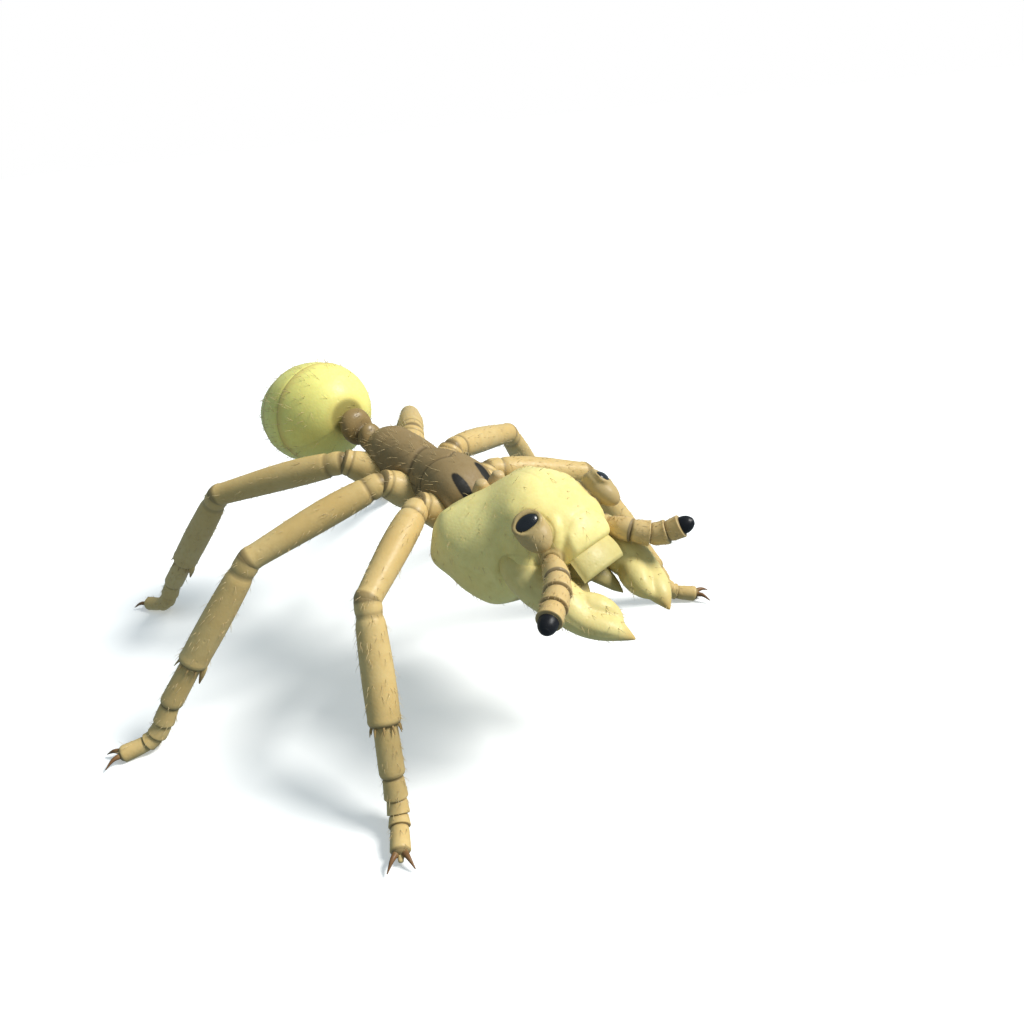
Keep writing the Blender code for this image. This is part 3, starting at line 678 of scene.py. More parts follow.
def gaster():
    """The pale tail. Plates lap over the next ones and over those below, and a short sting ends it."""
    pitch = math.radians(GASTER_PITCH)
    count, angles = 330, circle(144)
    along = np.linspace(0, 1, count)
    plate = np.clip(np.searchsorted(GASTER_PLATES, along, side="right") - 1, 0, len(GASTER_PLATES) - 2)
    near, far = np.take(GASTER_PLATES, plate), np.take(GASTER_PLATES, plate + 1)
    share = (along - near) / (far - near)
    swell = np.interp(share, *GASTER_SWELL)
    swell = np.where(plate == 0, np.interp(share, (0, 0.97, 1), (1, 1.006, 0.985)), swell)
    outline = np.sin(math.pi * np.minimum(1.0, along**0.80 * 0.93 + 0.045)) ** 0.66
    radius = (outline * swell)[:, None] * (1 + 0.012 * soft_step(np.sin(angles), -0.46, -0.38))
    forward = WAIST_REAR - GAP - along * GASTER_LENGTH * math.cos(pitch)
    height = GASTER_ROOT_HEIGHT + along * GASTER_LENGTH * math.sin(pitch)
    tall = np.where(np.sin(angles) > 0, 1.0, 0.98) * GASTER_HEIGHT / 2
    rings = np.stack([
        radius * np.cos(angles) * GASTER_WIDTH / 2,
        np.repeat(-forward[:, None] - BODY_MIDDLE, len(angles), 1),
        height[:, None] + radius * np.sin(angles) * tall,
    ], -1)
    rim = np.maximum(groove(share - 1.0, 0.05), groove(share, 0.022)) * (along < 0.97) * (along > 0.05)
    second = 0.85 * soft_step(share, 0.72, 1.0) * (along < 0.99) + 0.5 * soft_step(along, 0.04, 0.0)
    dark = rim[:, None] * 0.75 + 0.35 * groove(np.sin(angles) + 0.44, 0.02)
    dark = np.maximum(dark, 0.9 * soft_step(along, 0.012, 0.0)[:, None])
    last = point(0, forward[-1], height[-1])
    tip = [last + (0, -0.22, 0.0), last + (0, 0.14, -0.03), last + (0, 0.34, -0.08)]
    sting = rod(tip, (0.13, 0.10, 0.015), 20, 16, second=(1.0, 0.3, 0.9), across=LEFT)
    made = merged([form(rings, {"dark": dark, "second": second}), sting])
    piece("tail_plates", made, "tail", "tail", "gaster")
    return made


# The head. Its own axes: u along the face towards the jaws, v out of the face, and side.


def head_axes():
    pitch = math.radians(HEAD_PITCH)
    return np.array([0, -math.cos(pitch), -math.sin(pitch)]), np.array([0, -math.sin(pitch), math.cos(pitch)])


def on_head(u, side, v):
    along, out = head_axes()
    return point(0, *HEAD_MIDDLE) + along * u + out * v + LEFT * side


def mirrored(keys, hand):
    """Places on the head from keys of (u, side, v), with their sides turned to one hand."""
    return [on_head(u, side * hand, v) for u, side, v in keys]


# Swellings and hollows of the head: height, the way to them as (along, side, out), and spread
HEAD_BUMPS = (
    (0.76, (-0.66, 0.61, -0.47), 0.48),
    (0.55, (0.03, 0.72, -0.68), 0.46),
    (0.16, (0.41, 0.74, -0.50), 0.23),
    (0.20, (-0.35, 0.68, -0.61), 0.17),
    (0.20, (-0.36, 0.91, -0.21), 0.34),
    (-0.24, (-0.23, 0.0, 0.97), 0.42),
    (-0.34, (-0.80, 0.0, -0.50), 0.42),
)


def head_radius(direction):
    """How far the head's surface lies from its core, in a direction of (along, side, out of the face)."""
    along, side, out = direction
    fore_aft = np.where(along > 0, HEAD_REACH["front"], HEAD_REACH["back"])
    up_down = np.where(out > 0, HEAD_REACH["out"], HEAD_REACH["under"])
    parts = np.stack([along / fore_aft, side / HEAD_REACH["side"], out / up_down])
    radius = (np.abs(parts) ** HEAD_ROUNDNESS).sum(axis=0) ** (-1 / HEAD_ROUNDNESS)
    for height, towards, spread in HEAD_BUMPS:
        towards = unit(np.array(towards))
        gap = np.stack([along - towards[0], np.abs(side) - towards[1], out - towards[2]])
        radius = radius + height * np.exp(-(gap**2).sum(axis=0) / spread**2)
    radius = radius - 0.02 * groove(side, 0.10) * np.clip(out, 0, 1)
    front = HEAD_CUT / np.maximum(along, 0.05)
    return -HEAD_EDGE * np.logaddexp(-radius / HEAD_EDGE, -front / HEAD_EDGE)


def head_shell():
    """Rings of the bare head from its right side to its left."""
    around = circle(120)
    turn = np.radians(np.linspace(-88, 88, 90))[:, None]
    direction = [np.cos(turn) * np.cos(around), np.sin(turn) + 0 * around, np.cos(turn) * np.sin(around)]
    direction = np.stack(direction)
    reach = direction * head_radius(direction.reshape(3, -1)).reshape(turn.size, around.size)
    along, out = head_axes()
    u, side, v = HEAD_CORE[0] + reach[0], reach[1], HEAD_CORE[1] + reach[2]
    return point(0, *HEAD_MIDDLE) + u[..., None] * along + v[..., None] * out + side[..., None] * LEFT


def on_face(u, side, lift=0.0):
    """A place on the face, found by halving the stretch between the head's core and a place outside."""
    low, high = 0.0, 2.5
    for _ in range(30):
        v = (low + high) / 2
        offset = np.array([u - HEAD_CORE[0], side, v])
        distance = np.linalg.norm(offset)
        if head_radius(offset / distance) > distance:
            low = v
        else:
            high = v
    return on_head(u, side, v + HEAD_CORE[1] + lift)


def plate(rows, thickness, across=33, count=40):
    """A bent plate from rows of (u, half-width, v), arched from side to side and rounded at its edges."""
    rows = smooth(np.array(rows, float)[:, [0, 2, 2, 1]] * (1, 1, 0, 1), count)
    line = np.linspace(-1, 1, across)
    rings = []
    for k, (u, v, _, half) in enumerate(rows):
        end = math.sin(math.pi / 2 * min(1.0, (min(k, count - 1 - k) + 0.6) / 5))
        ring = []
        for face, shares in ((1, line), (-1, line[::-1])):
            for a in shares:
                edge = face * end * min(1, 6 * (1 - abs(a))) ** 0.5
                ring.append(on_head(u, half * a, v - PLATE_ARCH * a * a - thickness / 2 * (1 - edge)))
        rings.append(ring)
    return np.array(rings)


def eye_axes(hand):
    along, out = head_axes()
    facing = unit(out * 0.80 + LEFT * hand * 0.55 - along * 0.25)
    length = unit(along - facing * (along @ facing))
    return length, np.cross(facing, length), facing


def eye_place(hand):
    return on_head(0.29, 1.03 * hand, 0.925)


def lobe_place(hand):
    length, _, facing = eye_axes(hand)
    return eye_place(hand) + length * 0.12 - facing * 0.14


def feeler_root(hand):
    """The place where a feeler leaves the head, and its way from there."""
    root = on_face(1.00, 0.78 * hand)
    elbow = FEELERS["left" if hand > 0 else "right"][0]
    return root, unit(point(*elbow) - root)


def eye_rim(hand):
    """The raised tan ring that an eye sits in."""
    length, across, facing = eye_axes(hand)
    middle = eye_place(hand) + facing * EYE_LIFT
    wide, narrow = EYE_RADII[0] + EYE_RIM, EYE_RADII[1] + EYE_RIM
    turn = circle(12)
    rings = []
    for angle in circle(60):
        offset = length * wide * math.cos(angle) + across * narrow * math.sin(angle)
        round_it = np.outer(np.cos(turn), unit(offset)) + np.outer(np.sin(turn), facing)
        rings.append(middle + offset + EYE_RIM * round_it)
    return np.array([*rings, rings[0]])


CLYPEUS = ((0.52, 0.42, 0.98), (0.84, 0.57, 1.06), (1.08, 0.60, 1.03), (1.25, 0.57, 0.945))
LIP = ((1.10, 0.54, 0.84), (1.24, 0.565, 0.875), (1.46, 0.585, 0.895), (1.69, 0.57, 0.87))
# The middle of the crest beside the front plate, as (u, side, height over the face)
CREST = ((0.26, 0.30, -0.20), (0.58, 0.48, -0.20), (0.90, 0.62, -0.21))
# Lines of the head's side as (u, side, v), each with its height and width
HEAD_LINES = (
    (((-0.89, 1.19, -0.74), (-0.50, 1.39, -0.78), (-0.19, 1.37, -0.67)), 0.045, 0.20),
    (((-0.19, 0.82, 0.49), (-0.14, 1.00, 0.19), (-0.15, 1.18, -0.22), (-0.19, 1.37, -0.67)), 0.028, 0.16),
    (((0.02, 1.04, 0.23), (0.12, 1.20, -0.20), (0.23, 1.35, -0.66)), -0.060, 0.16),
    (((0.23, 1.35, -0.67), (0.45, 1.24, -0.44), (0.68, 1.22, -0.55), (0.83, 1.19, -0.64)), 0.050, 0.11),
    (((0.31, 1.14, 0.0), (0.60, 1.16, -0.22), (0.84, 1.18, -0.63)), -0.070, 0.13),
)
# Places along a jaw's middle as (u, side, v), each with the jaw's half-width, and those of its inner tooth
JAW_KEYS = (
    (0.46, 0.84, -0.26, 0.26), (0.78, 0.96, -0.12, 0.40), (1.15, 0.99, 0.08, 0.49), (1.70, 0.95, 0.32, 0.46),
    (2.20, 0.91, 0.48, 0.35), (2.65, 0.68, 0.71, 0.24), (2.98, 0.53, 0.81, 0.03),
)
JAW_TOOTH = ((1.86, 0.94, 0.28), (2.22, 0.58, 0.56), (2.45, 0.49, 0.66), (2.68, 0.54, 0.74))


def jaw_rows(hand):
    return smooth([(*on_head(u, side * hand, v), half) for u, side, v, half in JAW_KEYS], 60)


def head_forms():
    """The head capsule with its front plate, crests, feeler sockets, eye lobes and jaw sockets."""
    along, out = head_axes()
    forms = [form(head_shell()), form(plate(CLYPEUS, 0.40))]
    for hand in HANDS:
        crest = [on_face(u, side * hand, lift) for u, side, lift in CREST]
        forms.append(rod(crest, (0.16, 0.21, 0.23, 0.22, 0.18), 30, 32))
        root, way = feeler_root(hand)
        path = [root + way * step for step in (-0.30, -0.10, 0.03, 0.07)]
        forms.append(form(swept(path, (0.20, 0.22, 0.20, 0.16), 40)))
        axes = eye_axes(hand)
        forms.append(form(ball(lobe_place(hand), EYE_LOBE_RADII, axes)))
        forms.append(form(eye_rim(hand)))
        seat = eye_place(hand) - axes[2] * 0.07 - axes[0] * 0.03
        forms.append(form(ball(seat, (0.26, 0.30, 0.155), axes)))
        forms.append(form(ball(on_head(0.86, 0.92 * hand, -0.06), (0.36, 0.34, 0.44), (along, LEFT, out))))
    return forms


def head():
    """The head's skin with its sutures, the colours of its lobes and sockets and painted shade in its feeler
    sockets, along its jaws' bases and under the upper lip, and the upper lip, darkened partly by painted
    shade.
    """
    along, out = head_axes()
    points, faces = fused(head_forms(), voxel=0.024, rounds=12)
    offset = points - point(0, *HEAD_MIDDLE)
    u, side, v = offset @ along, offset[:, 0], offset @ out
    face = soft_step(v, 0.2, 0.5)
    skin = Skin(((points, faces), {}), 0.7)
    # The crown's middle line, the arch over the front plate, the rear rim and the throat's middle line
    skin.cut(side, 0.030, 0.008, face * soft_step(u, -0.10, -0.50) * soft_step(u, -1.05, -0.80), 0.08)
    skin.cut(np.hypot(u - 1.05, side * 0.78) - 0.43, 0.030, 0.008, face * soft_step(u, 0.98, 0.88), 0.12)
    skin.cut(u + 0.86 - 0.25 * v, 0.040, 0.020, soft_step(v, -0.4, -0.7), 0.25)
    skin.cut(side, 0.020, 0.026, soft_step(v, -0.5, -0.8) * soft_step(u, 0.85, 0.65), 0.45)
    for hand in HANDS:
        axes = np.array(eye_axes(hand)).T
        lobe = norms((points - lobe_place(hand)) @ axes / (np.array(EYE_LOBE_RADII) + 0.03))
        skin.tint(soft_step(lobe, 1.22, 1.02))
        skin.cut(lobe - 1.20, 0.06, 0.012, 1.0, 0.40)
        lengthwise, crosswise, deep = ((points - eye_place(hand)) @ axes).T
        ring = np.hypot(lengthwise / EYE_RADII[0], crosswise / EYE_RADII[1])
        collar = np.hypot((lengthwise + 0.03) / 0.30, crosswise / 0.34)
        skin.tint(soft_step(collar, 1.12, 0.98) * (np.abs(deep) < 0.25))
        skin.darken(0.9 * soft_step(ring, 1.04, 0.94) * (lobe < 1.5))
        root, way = feeler_root(hand)
        reach = points - root
        away, close = off_line(reach, way), soft_step(norms(reach), 0.55, 0.42)
        skin.tint(0.85 * soft_step(away, 0.29, 0.21) * close)
        # Painted shade in the socket's hollow round the feeler's base
        hollow = soft_step(away, 0.18, 0.14) * soft_step(reach @ way, 0.02, 0.06)
        skin.darken(0.8 * hollow * close)
        for keys, height, width in HEAD_LINES:
            _, beside = near_path(points, smooth(mirrored(keys, hand), 50))
            skin.lift += height * groove(norms(beside), width)
        rows = jaw_rows(hand)
        share, beside = near_path(points, rows[:, :3])
        gap = norms(beside) - np.interp(share, np.linspace(0, 1, len(rows)), rows[:, 3])
        # Painted shade in the crease round the jaw's base on the head's lower side, partly the dark line of
        # the joint
        skin.darken(0.30 * groove(gap - 0.01, 0.022) * soft_step(v, 0.35, 0.0))
    # Painted shade on the head's front below and under the upper lip
    skin.darken(0.6 * soft_step(u, 1.10, 1.2) * soft_step(v, 0.6, 0.4))
    made = skin.done()
    piece("head_skin", made, "head", "head_shell", "head")
    rings = plate(LIP, 0.15)
    # Painted shade on the upper lip: darker all over, partly its own darker tone and partly painted shade,
    # and darkest at its rear edge under the front plate
    shade = np.maximum(0.50 * soft_step(np.linspace(0, 1, len(rings)), 0.30, 0.20), 0.40)
    piece("upper_lip", form(rings, {"dark": shade}), "head", "head_shell", "labrum")
    return made


def eyes():
    """The low black domes."""
    for hand, side in SIDES:
        length, across, facing = eye_axes(hand)
        radii = (EYE_RADII[2], EYE_RADII[0], EYE_RADII[1])
        dome = ball(eye_place(hand) + facing * EYE_LIFT, radii, (facing, length, across), 40, 56)
        piece(f"eye_{side}_dome", form(dome), "eye", "eye", f"eye_{side}")


def jaws():
    """The sickle-shaped jaws, with a broad inner tooth, shallow grooves and darker tips."""
    _, out = head_axes()
    made = []
    for hand, side in SIDES:
        rows = jaw_rows(hand)
        path, radii = capped(rows[:, :3], np.maximum(rows[:, 3], 0.03), 0.9, 0.8)
        blade = form(swept(path, radii, 48, flat=0.76, across=out))
        tooth = rod(mirrored(JAW_TOOTH, hand), (0.22, 0.29, 0.30, 0.28, 0.23, 0.14, 0.05), 30, 32, across=out)
        points, faces = fused([blade, tooth], voxel=0.018, rounds=40)
        share, away = near_path(points, smooth(rows, 300)[:, :3])
        facing = unit(away)
        angle = np.arctan2(facing @ out, facing @ (LEFT * hand))
        body = soft_step(share, 0.18, 0.30) * soft_step(share, 0.93, 0.80)
        lines = [groove(angle - turn, 0.16) * body for turn in (0.45, -0.75)]
        inward = unit(out * 0.25 - LEFT * hand * 0.9)
        cutting = soft_step(facing @ inward, 0.90, 0.99) * soft_step(share, 0.55, 0.70)
        edge = 0.35 * cutting * soft_step(norms(away), 0.30, 0.42)
        masks = {"dark": 0.12 * np.maximum(*lines), "second": 0.65 * soft_step(share, 0.86, 1.0) + edge}
        jaw = lifted(((points, faces), {}), -0.012 * sum(lines), masks)
        piece(f"jaw_{side}", jaw, "jaw", "jaw", f"mandible_{side}")
        made.append(jaw)
    return made


def mouthparts():
    """The lower lip with its two pointed lobes, and the short feelers of the mouth beside it."""
    _, out = head_axes()
    front = HEAD_CORE[0] + HEAD_CUT
    keys = [on_head(front - 0.06, 0, 0.05), on_head(front + 0.20, 0, 0.07), on_head(front + 0.34, 0, 0.08)]
    forms = [rod(keys, (0.42, 0.45, 0.42, 0.32, 0.20), 30, 40, flat=0.84, across=out)]
    lobe = ((front + 0.14, 0.16, 0.06), (1.72, 0.32, 0.11), (2.25, 0.46, 0.16))
    for hand in HANDS:
        keys = mirrored(lobe, hand)
        forms.append(rod(keys, (0.22, 0.23, 0.22, 0.18, 0.12, 0.02), 30, 24, flat=0.6, across=out))
    points, faces = fused(forms, voxel=0.02, rounds=6)
    split = groove(points[:, 0], 0.02)
    parts = [lifted(((points, faces), {}), -0.03 * split, {"dark": 0.8 * split})]
    for hand in HANDS:
        for palp in (((1.30, 0.30, -0.22), (1.50, 0.40, -0.24), (1.66, 0.36, -0.14)),
                     ((1.22, 0.52, 0.02), (1.46, 0.62, 0.00), (1.62, 0.58, 0.08))):
            parts.append(rod(mirrored(palp, hand), (0.05, 0.035, 0.055, 0.035, 0.045, 0.02), 30, 12))
    piece("lower_lip", merged(parts), "mouth", "mouth", "mouthparts")


NECK_LOBE = ((0.10, 2.16, 4.30), (0.20, 2.12, 4.62), (0.24, 2.16, 4.86))


def neck():
    """The short soft neck with its fine folds, darker in their valleys with painted shade, and two rounded
    lobes behind the head.
    """
    path = smooth([point(0, 1.66, 4.21), point(0, 2.20, 4.26), point(0, 2.90, 4.44)], 70)
    folds = np.sin(np.linspace(0, 60, 70))
    # Painted shade: darker in the valleys of the folds
    forms = [form(swept(path, 0.285 + 0.012 * folds, 48), {"dark": 0.25 - 0.25 * folds})]
    for hand in HANDS:
        keys = [point(side * hand, ahead, up) for side, ahead, up in NECK_LOBE]
        forms.append(rod(keys, (0.20, 0.21, 0.21, 0.19, 0.13), 30, 32, across=LEFT))
    piece("neck_skin", merged(forms), "neck", "neck", "neck")


# The feelers

# Places along one joint of a lash, and the relative radius of its cup there. The last joint is a dome.
LASH_CUP = (
    (0.0, 0.03, 0.10, 0.25, 0.45, 0.65, 0.80, 0.88, 0.925, 0.955, 0.975, 0.99),
    (0.78, 0.86, 0.92, 0.97, 1.00, 1.03, 1.06, 1.085, 1.095, 1.08, 1.02, 0.88),
)
LASH_DOME = (0.73, 0.735, 0.74, 0.738, 0.70, 0.63, 0.54, 0.474, 0.427, 0.392, 0.367, 0.346)


def feelers():
    """Short first joints and lashes of wide cups, each with its last joint black."""
    made = []
    share = np.linspace(0, 1, 50)
    for hand, side in SIDES:
        root, way = feeler_root(hand)
        elbow, bend, tip = (point(*place) for place in FEELERS[side])
        path = root - way * 0.04 + np.outer(share, elbow + way * 0.04 - root)
        radii = FEELER_RADIUS * (0.48 + 0.54 * np.sin(np.pi * 0.6 * share))
        ends = np.maximum(0.75 * soft_step(share, 0.12, 0.02), 0.8 * soft_step(share, 0.95, 1.0))
        base = limb(path, radii, np.maximum(ends, 0.5 * groove(share - 0.24, 0.02)), None, 0.5, 0.20, 40)
        piece(f"feeler_{side}_base", base, "feeler", "feeler", f"antenna_{side}_scape")
        shares, size, rim = cups(LASH_JOINTS, LASH_CUP, (0.035, 0.035))
        radii = FEELER_RADIUS * size * (1 - 0.20 * shares**3)
        radii[-len(LASH_DOME):] = FEELER_RADIUS * np.array(LASH_DOME)
        black = soft_step(shares, 1 - LASH_JOINTS[-1], 1 - LASH_JOINTS[-1] + 0.005)
        path = along_path(smooth([elbow, bend, tip], 200), shares)
        lash = limb(path, radii, 0.65 * rim * (1 - black), black, 0.2, 0.34, 40)
        piece(f"feeler_{side}_lash", lash, "feeler", "feeler", f"antenna_{side}_flagellum")
        made += [(base, root, elbow), (lash, elbow, tip)]
    return made


# The legs

# The rings of a limb, and the share of its length at each
LIMB_ROWS = 46
SHARE = np.linspace(0, 1, LIMB_ROWS)
# Places along one joint of a foot, and the relative radius of its cup there
FOOT_CUP = (
    (0.0, 0.04, 0.12, 0.30, 0.50, 0.70, 0.84, 0.91, 0.955, 0.985),
    (0.78, 0.86, 0.90, 0.94, 0.98, 1.02, 1.05, 1.06, 1.00, 0.84),
)
# A spine at the end of a shank: ways out and ahead from the ankle
SPINE = ((0.20, -0.06), (0.27, 0.05), (0.30, 0.17))
# A claw: ways ahead, aside and up from the toe
CLAW = ((-0.12, 0, 0), (0.16, 0.14, 0.05), (0.33, 0.24, -0.05))


def hip(root, tip):
    """The coxa, with a groove near its end."""
    radii = np.interp(SHARE, np.linspace(0, 1, 7), (0.36, 0.40, 0.40, 0.38, 0.34, 0.31, 0.28))
    radii = radii * (1 - 0.05 * groove(SHARE - 0.86, 0.03))
    dark = np.maximum(0.8 * soft_step(SHARE, 0.97, 1.0), 0.55 * groove(SHARE - 0.86, 0.03))
    return limb(smooth([root, (root + tip) / 2, tip], LIMB_ROWS), radii, dark, start=0.2, end=0.30)


def thigh(tip, knee):
    """The trochanter and the femur, with the groove between them."""
    path = smooth([tip, tip * 0.62 + knee * 0.38 + UP * 0.03, knee], LIMB_ROWS)
    joint = 0.34 / np.linalg.norm(knee - tip)
    radii = LIMB_RADIUS + 0.06 * np.sin(np.pi * SHARE**0.75) ** 1.3
    radii = radii * (1 - 0.11 * groove(SHARE - joint, 0.016)) * (1 - 0.12 * soft_step(SHARE, 0.03, 0.0))
    radii = radii * (1 + 0.05 * groove(SHARE - 0.985, 0.02))
    ends = np.maximum(0.6 * soft_step(SHARE, 0.985, 1.0), 0.8 * soft_step(SHARE, 0.015, 0.0))
    return limb(path, radii, np.maximum(ends, 0.75 * groove(SHARE - joint, 0.012)), start=0.5, end=0.75)


def shank(knee, ankle):
    """The tibia, with a groove below the knee and a swollen end."""
    radii = LIMB_RADIUS + 0.045 * np.sin(np.pi * 0.5 * SHARE) + 0.02 * np.sin(np.pi * SHARE)
    radii = radii * (1 - 0.10 * groove(SHARE - 0.13, 0.035)) * (1 + 0.04 * groove(SHARE - 0.965, 0.02))
    radii[-1] *= 0.94
    ends = np.maximum(0.8 * soft_step(SHARE, 0.975, 1.0), 0.7 * soft_step(SHARE, 0.03, 0.0))
    dark = np.maximum(ends, 0.45 * groove(SHARE - 0.12, 0.02))
    return limb(np.linspace(knee, ankle, LIMB_ROWS), radii, dark, start=0.72, end=0.15)


def comb(knee, ankle):
    """The comb spur at the end of a shank, and the fringe of short spines round it."""
    along = unit(ankle - knee)
    inward = unit(np.cross(along, np.cross(-UP, along)))
    keys = [ankle - along * 0.25, ankle + inward * 0.24 + along * 0.02, ankle + inward * 0.34 + along * 0.42]
    parts = [rod(keys, (0.10, 0.10, 0.08, 0.055, 0.015), 24, 14, second=(0.8, 0.5, 0.9))]
    aside = unit(np.cross(along, inward))
    for turn in np.linspace(0.6, 2 * math.pi - 0.6, 9):
        out = inward * math.cos(turn) + aside * math.sin(turn)
        keys = [ankle + out * away + along * ahead for away, ahead in SPINE]
        parts.append(rod(keys, (0.028, 0.024, 0.006), 8, 6, second=(0.5, -1, 0)))
    return parts


def boot(ankle, foot, along):
    """The jointed foot with two hooked claws and the pad between them, and the place of its toe. Its sole is
    flat: nothing reaches below the floor."""
    outward = unit(along * (1, 1, 0))
    across = np.cross(outward, UP)
    toe = foot + outward * (TOE_LENGTH - TOE_SETBACK) + UP * TOE_HEIGHT
    heel = foot - along * 0.10 - outward * TOE_SETBACK + UP * (TOE_HEIGHT + 0.06)
    start = ankle - along * 0.05
    fine = smooth([start, start * 0.5 + heel * 0.5, heel, toe], 300)
    shares, size, rim = cups(TARSUS_JOINTS, FOOT_CUP, (0.05, 0.04))
    radii = (LIMB_RADIUS - 0.075 * shares) * size
    parts = [limb(along_path(fine, shares), radii, 0.8 * rim, start=0.3, end=0.5, sides=32)]
    for split in HANDS:
        keys = [toe + outward * ahead + across * beside * split + UP * above for ahead, beside, above in CLAW]
        parts.append(rod(keys, (0.075, 0.068, 0.05, 0.03, 0.010), 20, 14, second=(1.0, 0.1, 0.5)))
    parts.append(rod([toe - outward * 0.02, toe + outward * 0.14 - UP * 0.03], (0.07, 0.05), sides=14))
    (points, faces), masks = merged(parts)
    points[:, 2] = np.maximum(points[:, 2], 0.0)
    return ((points, faces), masks), toe


# A leg's pieces, their nodes and the count of hairs on each
LEG_PARTS = (("hip", "coxa", 20), ("thigh", "femur", 100), ("shank", "tibia", 120), ("foot", "tarsus", 90))


def legs():
    """All six legs. Returned are the forms that carry hairs, each with its two ends and count of hairs."""
    hosts = []
    for hand, side in SIDES:
        for place, leg in LEGS.items():
            root, tip, knee, foot = leg_points(leg, hand)
            ankle = knee + (foot - knee) * TIBIA_SHARE
            sole, toe = boot(ankle, foot, unit(foot - knee))
            bare = [hip(root, tip), thigh(tip, knee), shank(knee, ankle), sole]
            ends = [root, tip, knee, ankle, toe]
            for k, (name, node, hairs) in enumerate(LEG_PARTS):
                made = merged([bare[k], *comb(knee, ankle)]) if name == "shank" else bare[k]
                piece(f"leg_{place}_{side}_{name}", made, "leg", "leg", f"leg_{place}_{side}_{node}")
                hosts.append((bare[k], ends[k], ends[k + 1], hairs))
    return hosts


# The fine hairs

# Places of a host's hairs on the unrolled map: corner and size
WHOLE = (0.02, 0.02, 0.96, 0.96)
FIRST_HALF = (0.02, 0.02, 0.46, 0.96)
SECOND_HALF = (0.52, 0.02, 0.46, 0.96)
# A hair's rings of three corners: share of its length, and relative radius
HAIR_RINGS = ((-0.06, 1.0), (0.40, 0.80), (0.75, 0.48))
HAIR_POINTS = 10


class Coat:
    """A coat of single fine hairs, each a thin tapered spike, gathered into one mesh."""

    def __init__(self, name, slot, seed):
        self.name, self.slot = name, slot
        self.random = np.random.default_rng(seed)
        self.points, self.patches = [], []

    def grow(self, host, count, length, lie, lean, axis, cell, where=None, radius=0.0050):
        """Roots count hairs on a form. lie is the way they lean, axis the line that the skin is unrolled
        round, and cell their place on the unrolled map."""
        (points, faces), _ = host
        corners = triangles(faces)
        normals = normals_of(points, faces)
        a, b, c = (points[corners[:, k]] for k in range(3))
        weight = norms(np.cross(b - a, c - a))
        if where is not None:
            weight = weight * where((a + b + c) / 3)
        chosen = self.random.choice(len(corners), count, p=weight / weight.sum())
        mix = self.random.dirichlet((1, 1, 1), count)
        root = sum(points[corners[chosen, k]] * mix[:, k : k + 1] for k in range(3))
        out = unit(sum(normals[corners[chosen, k]] * mix[:, k : k + 1] for k in range(3)))
        lie = np.asarray(lie, float) + self.random.normal(0, 0.30, (count, 3))
        flat = unit(lie - out * (lie * out).sum(axis=1, keepdims=True))
        slant = np.clip(lean + self.random.normal(0, 0.10, count), 0.05, 0.93)[:, None]
        way = unit(out * (1 - slant) + flat * slant)
        reach = (self.random.uniform(*length, count))[:, None]
        aside = unit(np.cross(way, flat + 0.01))
        third = np.cross(way, aside)
        bend = flat * reach * 0.28
        rows = []
        for t, size in HAIR_RINGS:
            middle = root + way * reach * t + bend * max(t, 0) ** 2
            for angle in np.radians((90, 210, 330)):
                rows.append(middle + radius * size * (aside * math.cos(angle) + third * math.sin(angle)))
        rows.append(root + way * reach + bend)
        hairs = np.stack(rows, axis=1)
        hairs[..., 2] = np.maximum(hairs[..., 2], 0.005)
        self.points.append(hairs)
        start, end = axis
        run = unit(end - start)
        offset = root - start
        across = unit(np.cross(run, np.array([0.31, 0.12, 0.94])))
        turn = np.arctan2(offset @ np.cross(run, across), offset @ across) / (2 * math.pi) + 0.5
        share = np.clip((offset @ run) / np.linalg.norm(end - start) * 0.7 + 0.15, 0, 1)
        self.patches.append(np.column_stack([cell[0] + share * cell[2], cell[1] + turn * cell[3]]))

    def finish(self):
        """Makes the coat's mesh. Each hair has its own small patch of the map OFBake."""
        points, patches = np.concatenate(self.points), np.concatenate(self.patches)
        faces = [(2, 1, 0)]
        for level in (0, 3):
            for near, far in ((0, 1), (1, 2), (2, 0)):
                faces.append((level + near, level + far, level + 3 + far, level + 3 + near))
        faces += [(6, 7, 9), (7, 8, 9), (8, 6, 9)]
        lists = [[HAIR_POINTS * n + k for k in face] for n in range(len(points)) for face in faces]
        data = bpy.data.meshes.new(self.name)
        data.from_pydata((points.reshape(-1, 3) * MM).tolist(), [], lists)
        patch = 0.003
        local = np.array([(k % 3 / 2 - 0.5, (0, 0.4, 0.75)[k // 3]) for k in range(9)] + [(0, 1)]) * patch
        corner = np.array([vertex for face in lists for vertex in face])
        where = patches[corner // HAIR_POINTS] * (1 - 2 * patch) + patch + local[corner % HAIR_POINTS]
        layer = data.uv_layers.new(name="OFBake")
        layer.uv.foreach_set("vector", where.astype(np.float32).ravel())
        data.materials.append(MATERIALS["hair"])
        data.shade_smooth()
        made = placed(self.name, data)
        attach(made, "root")


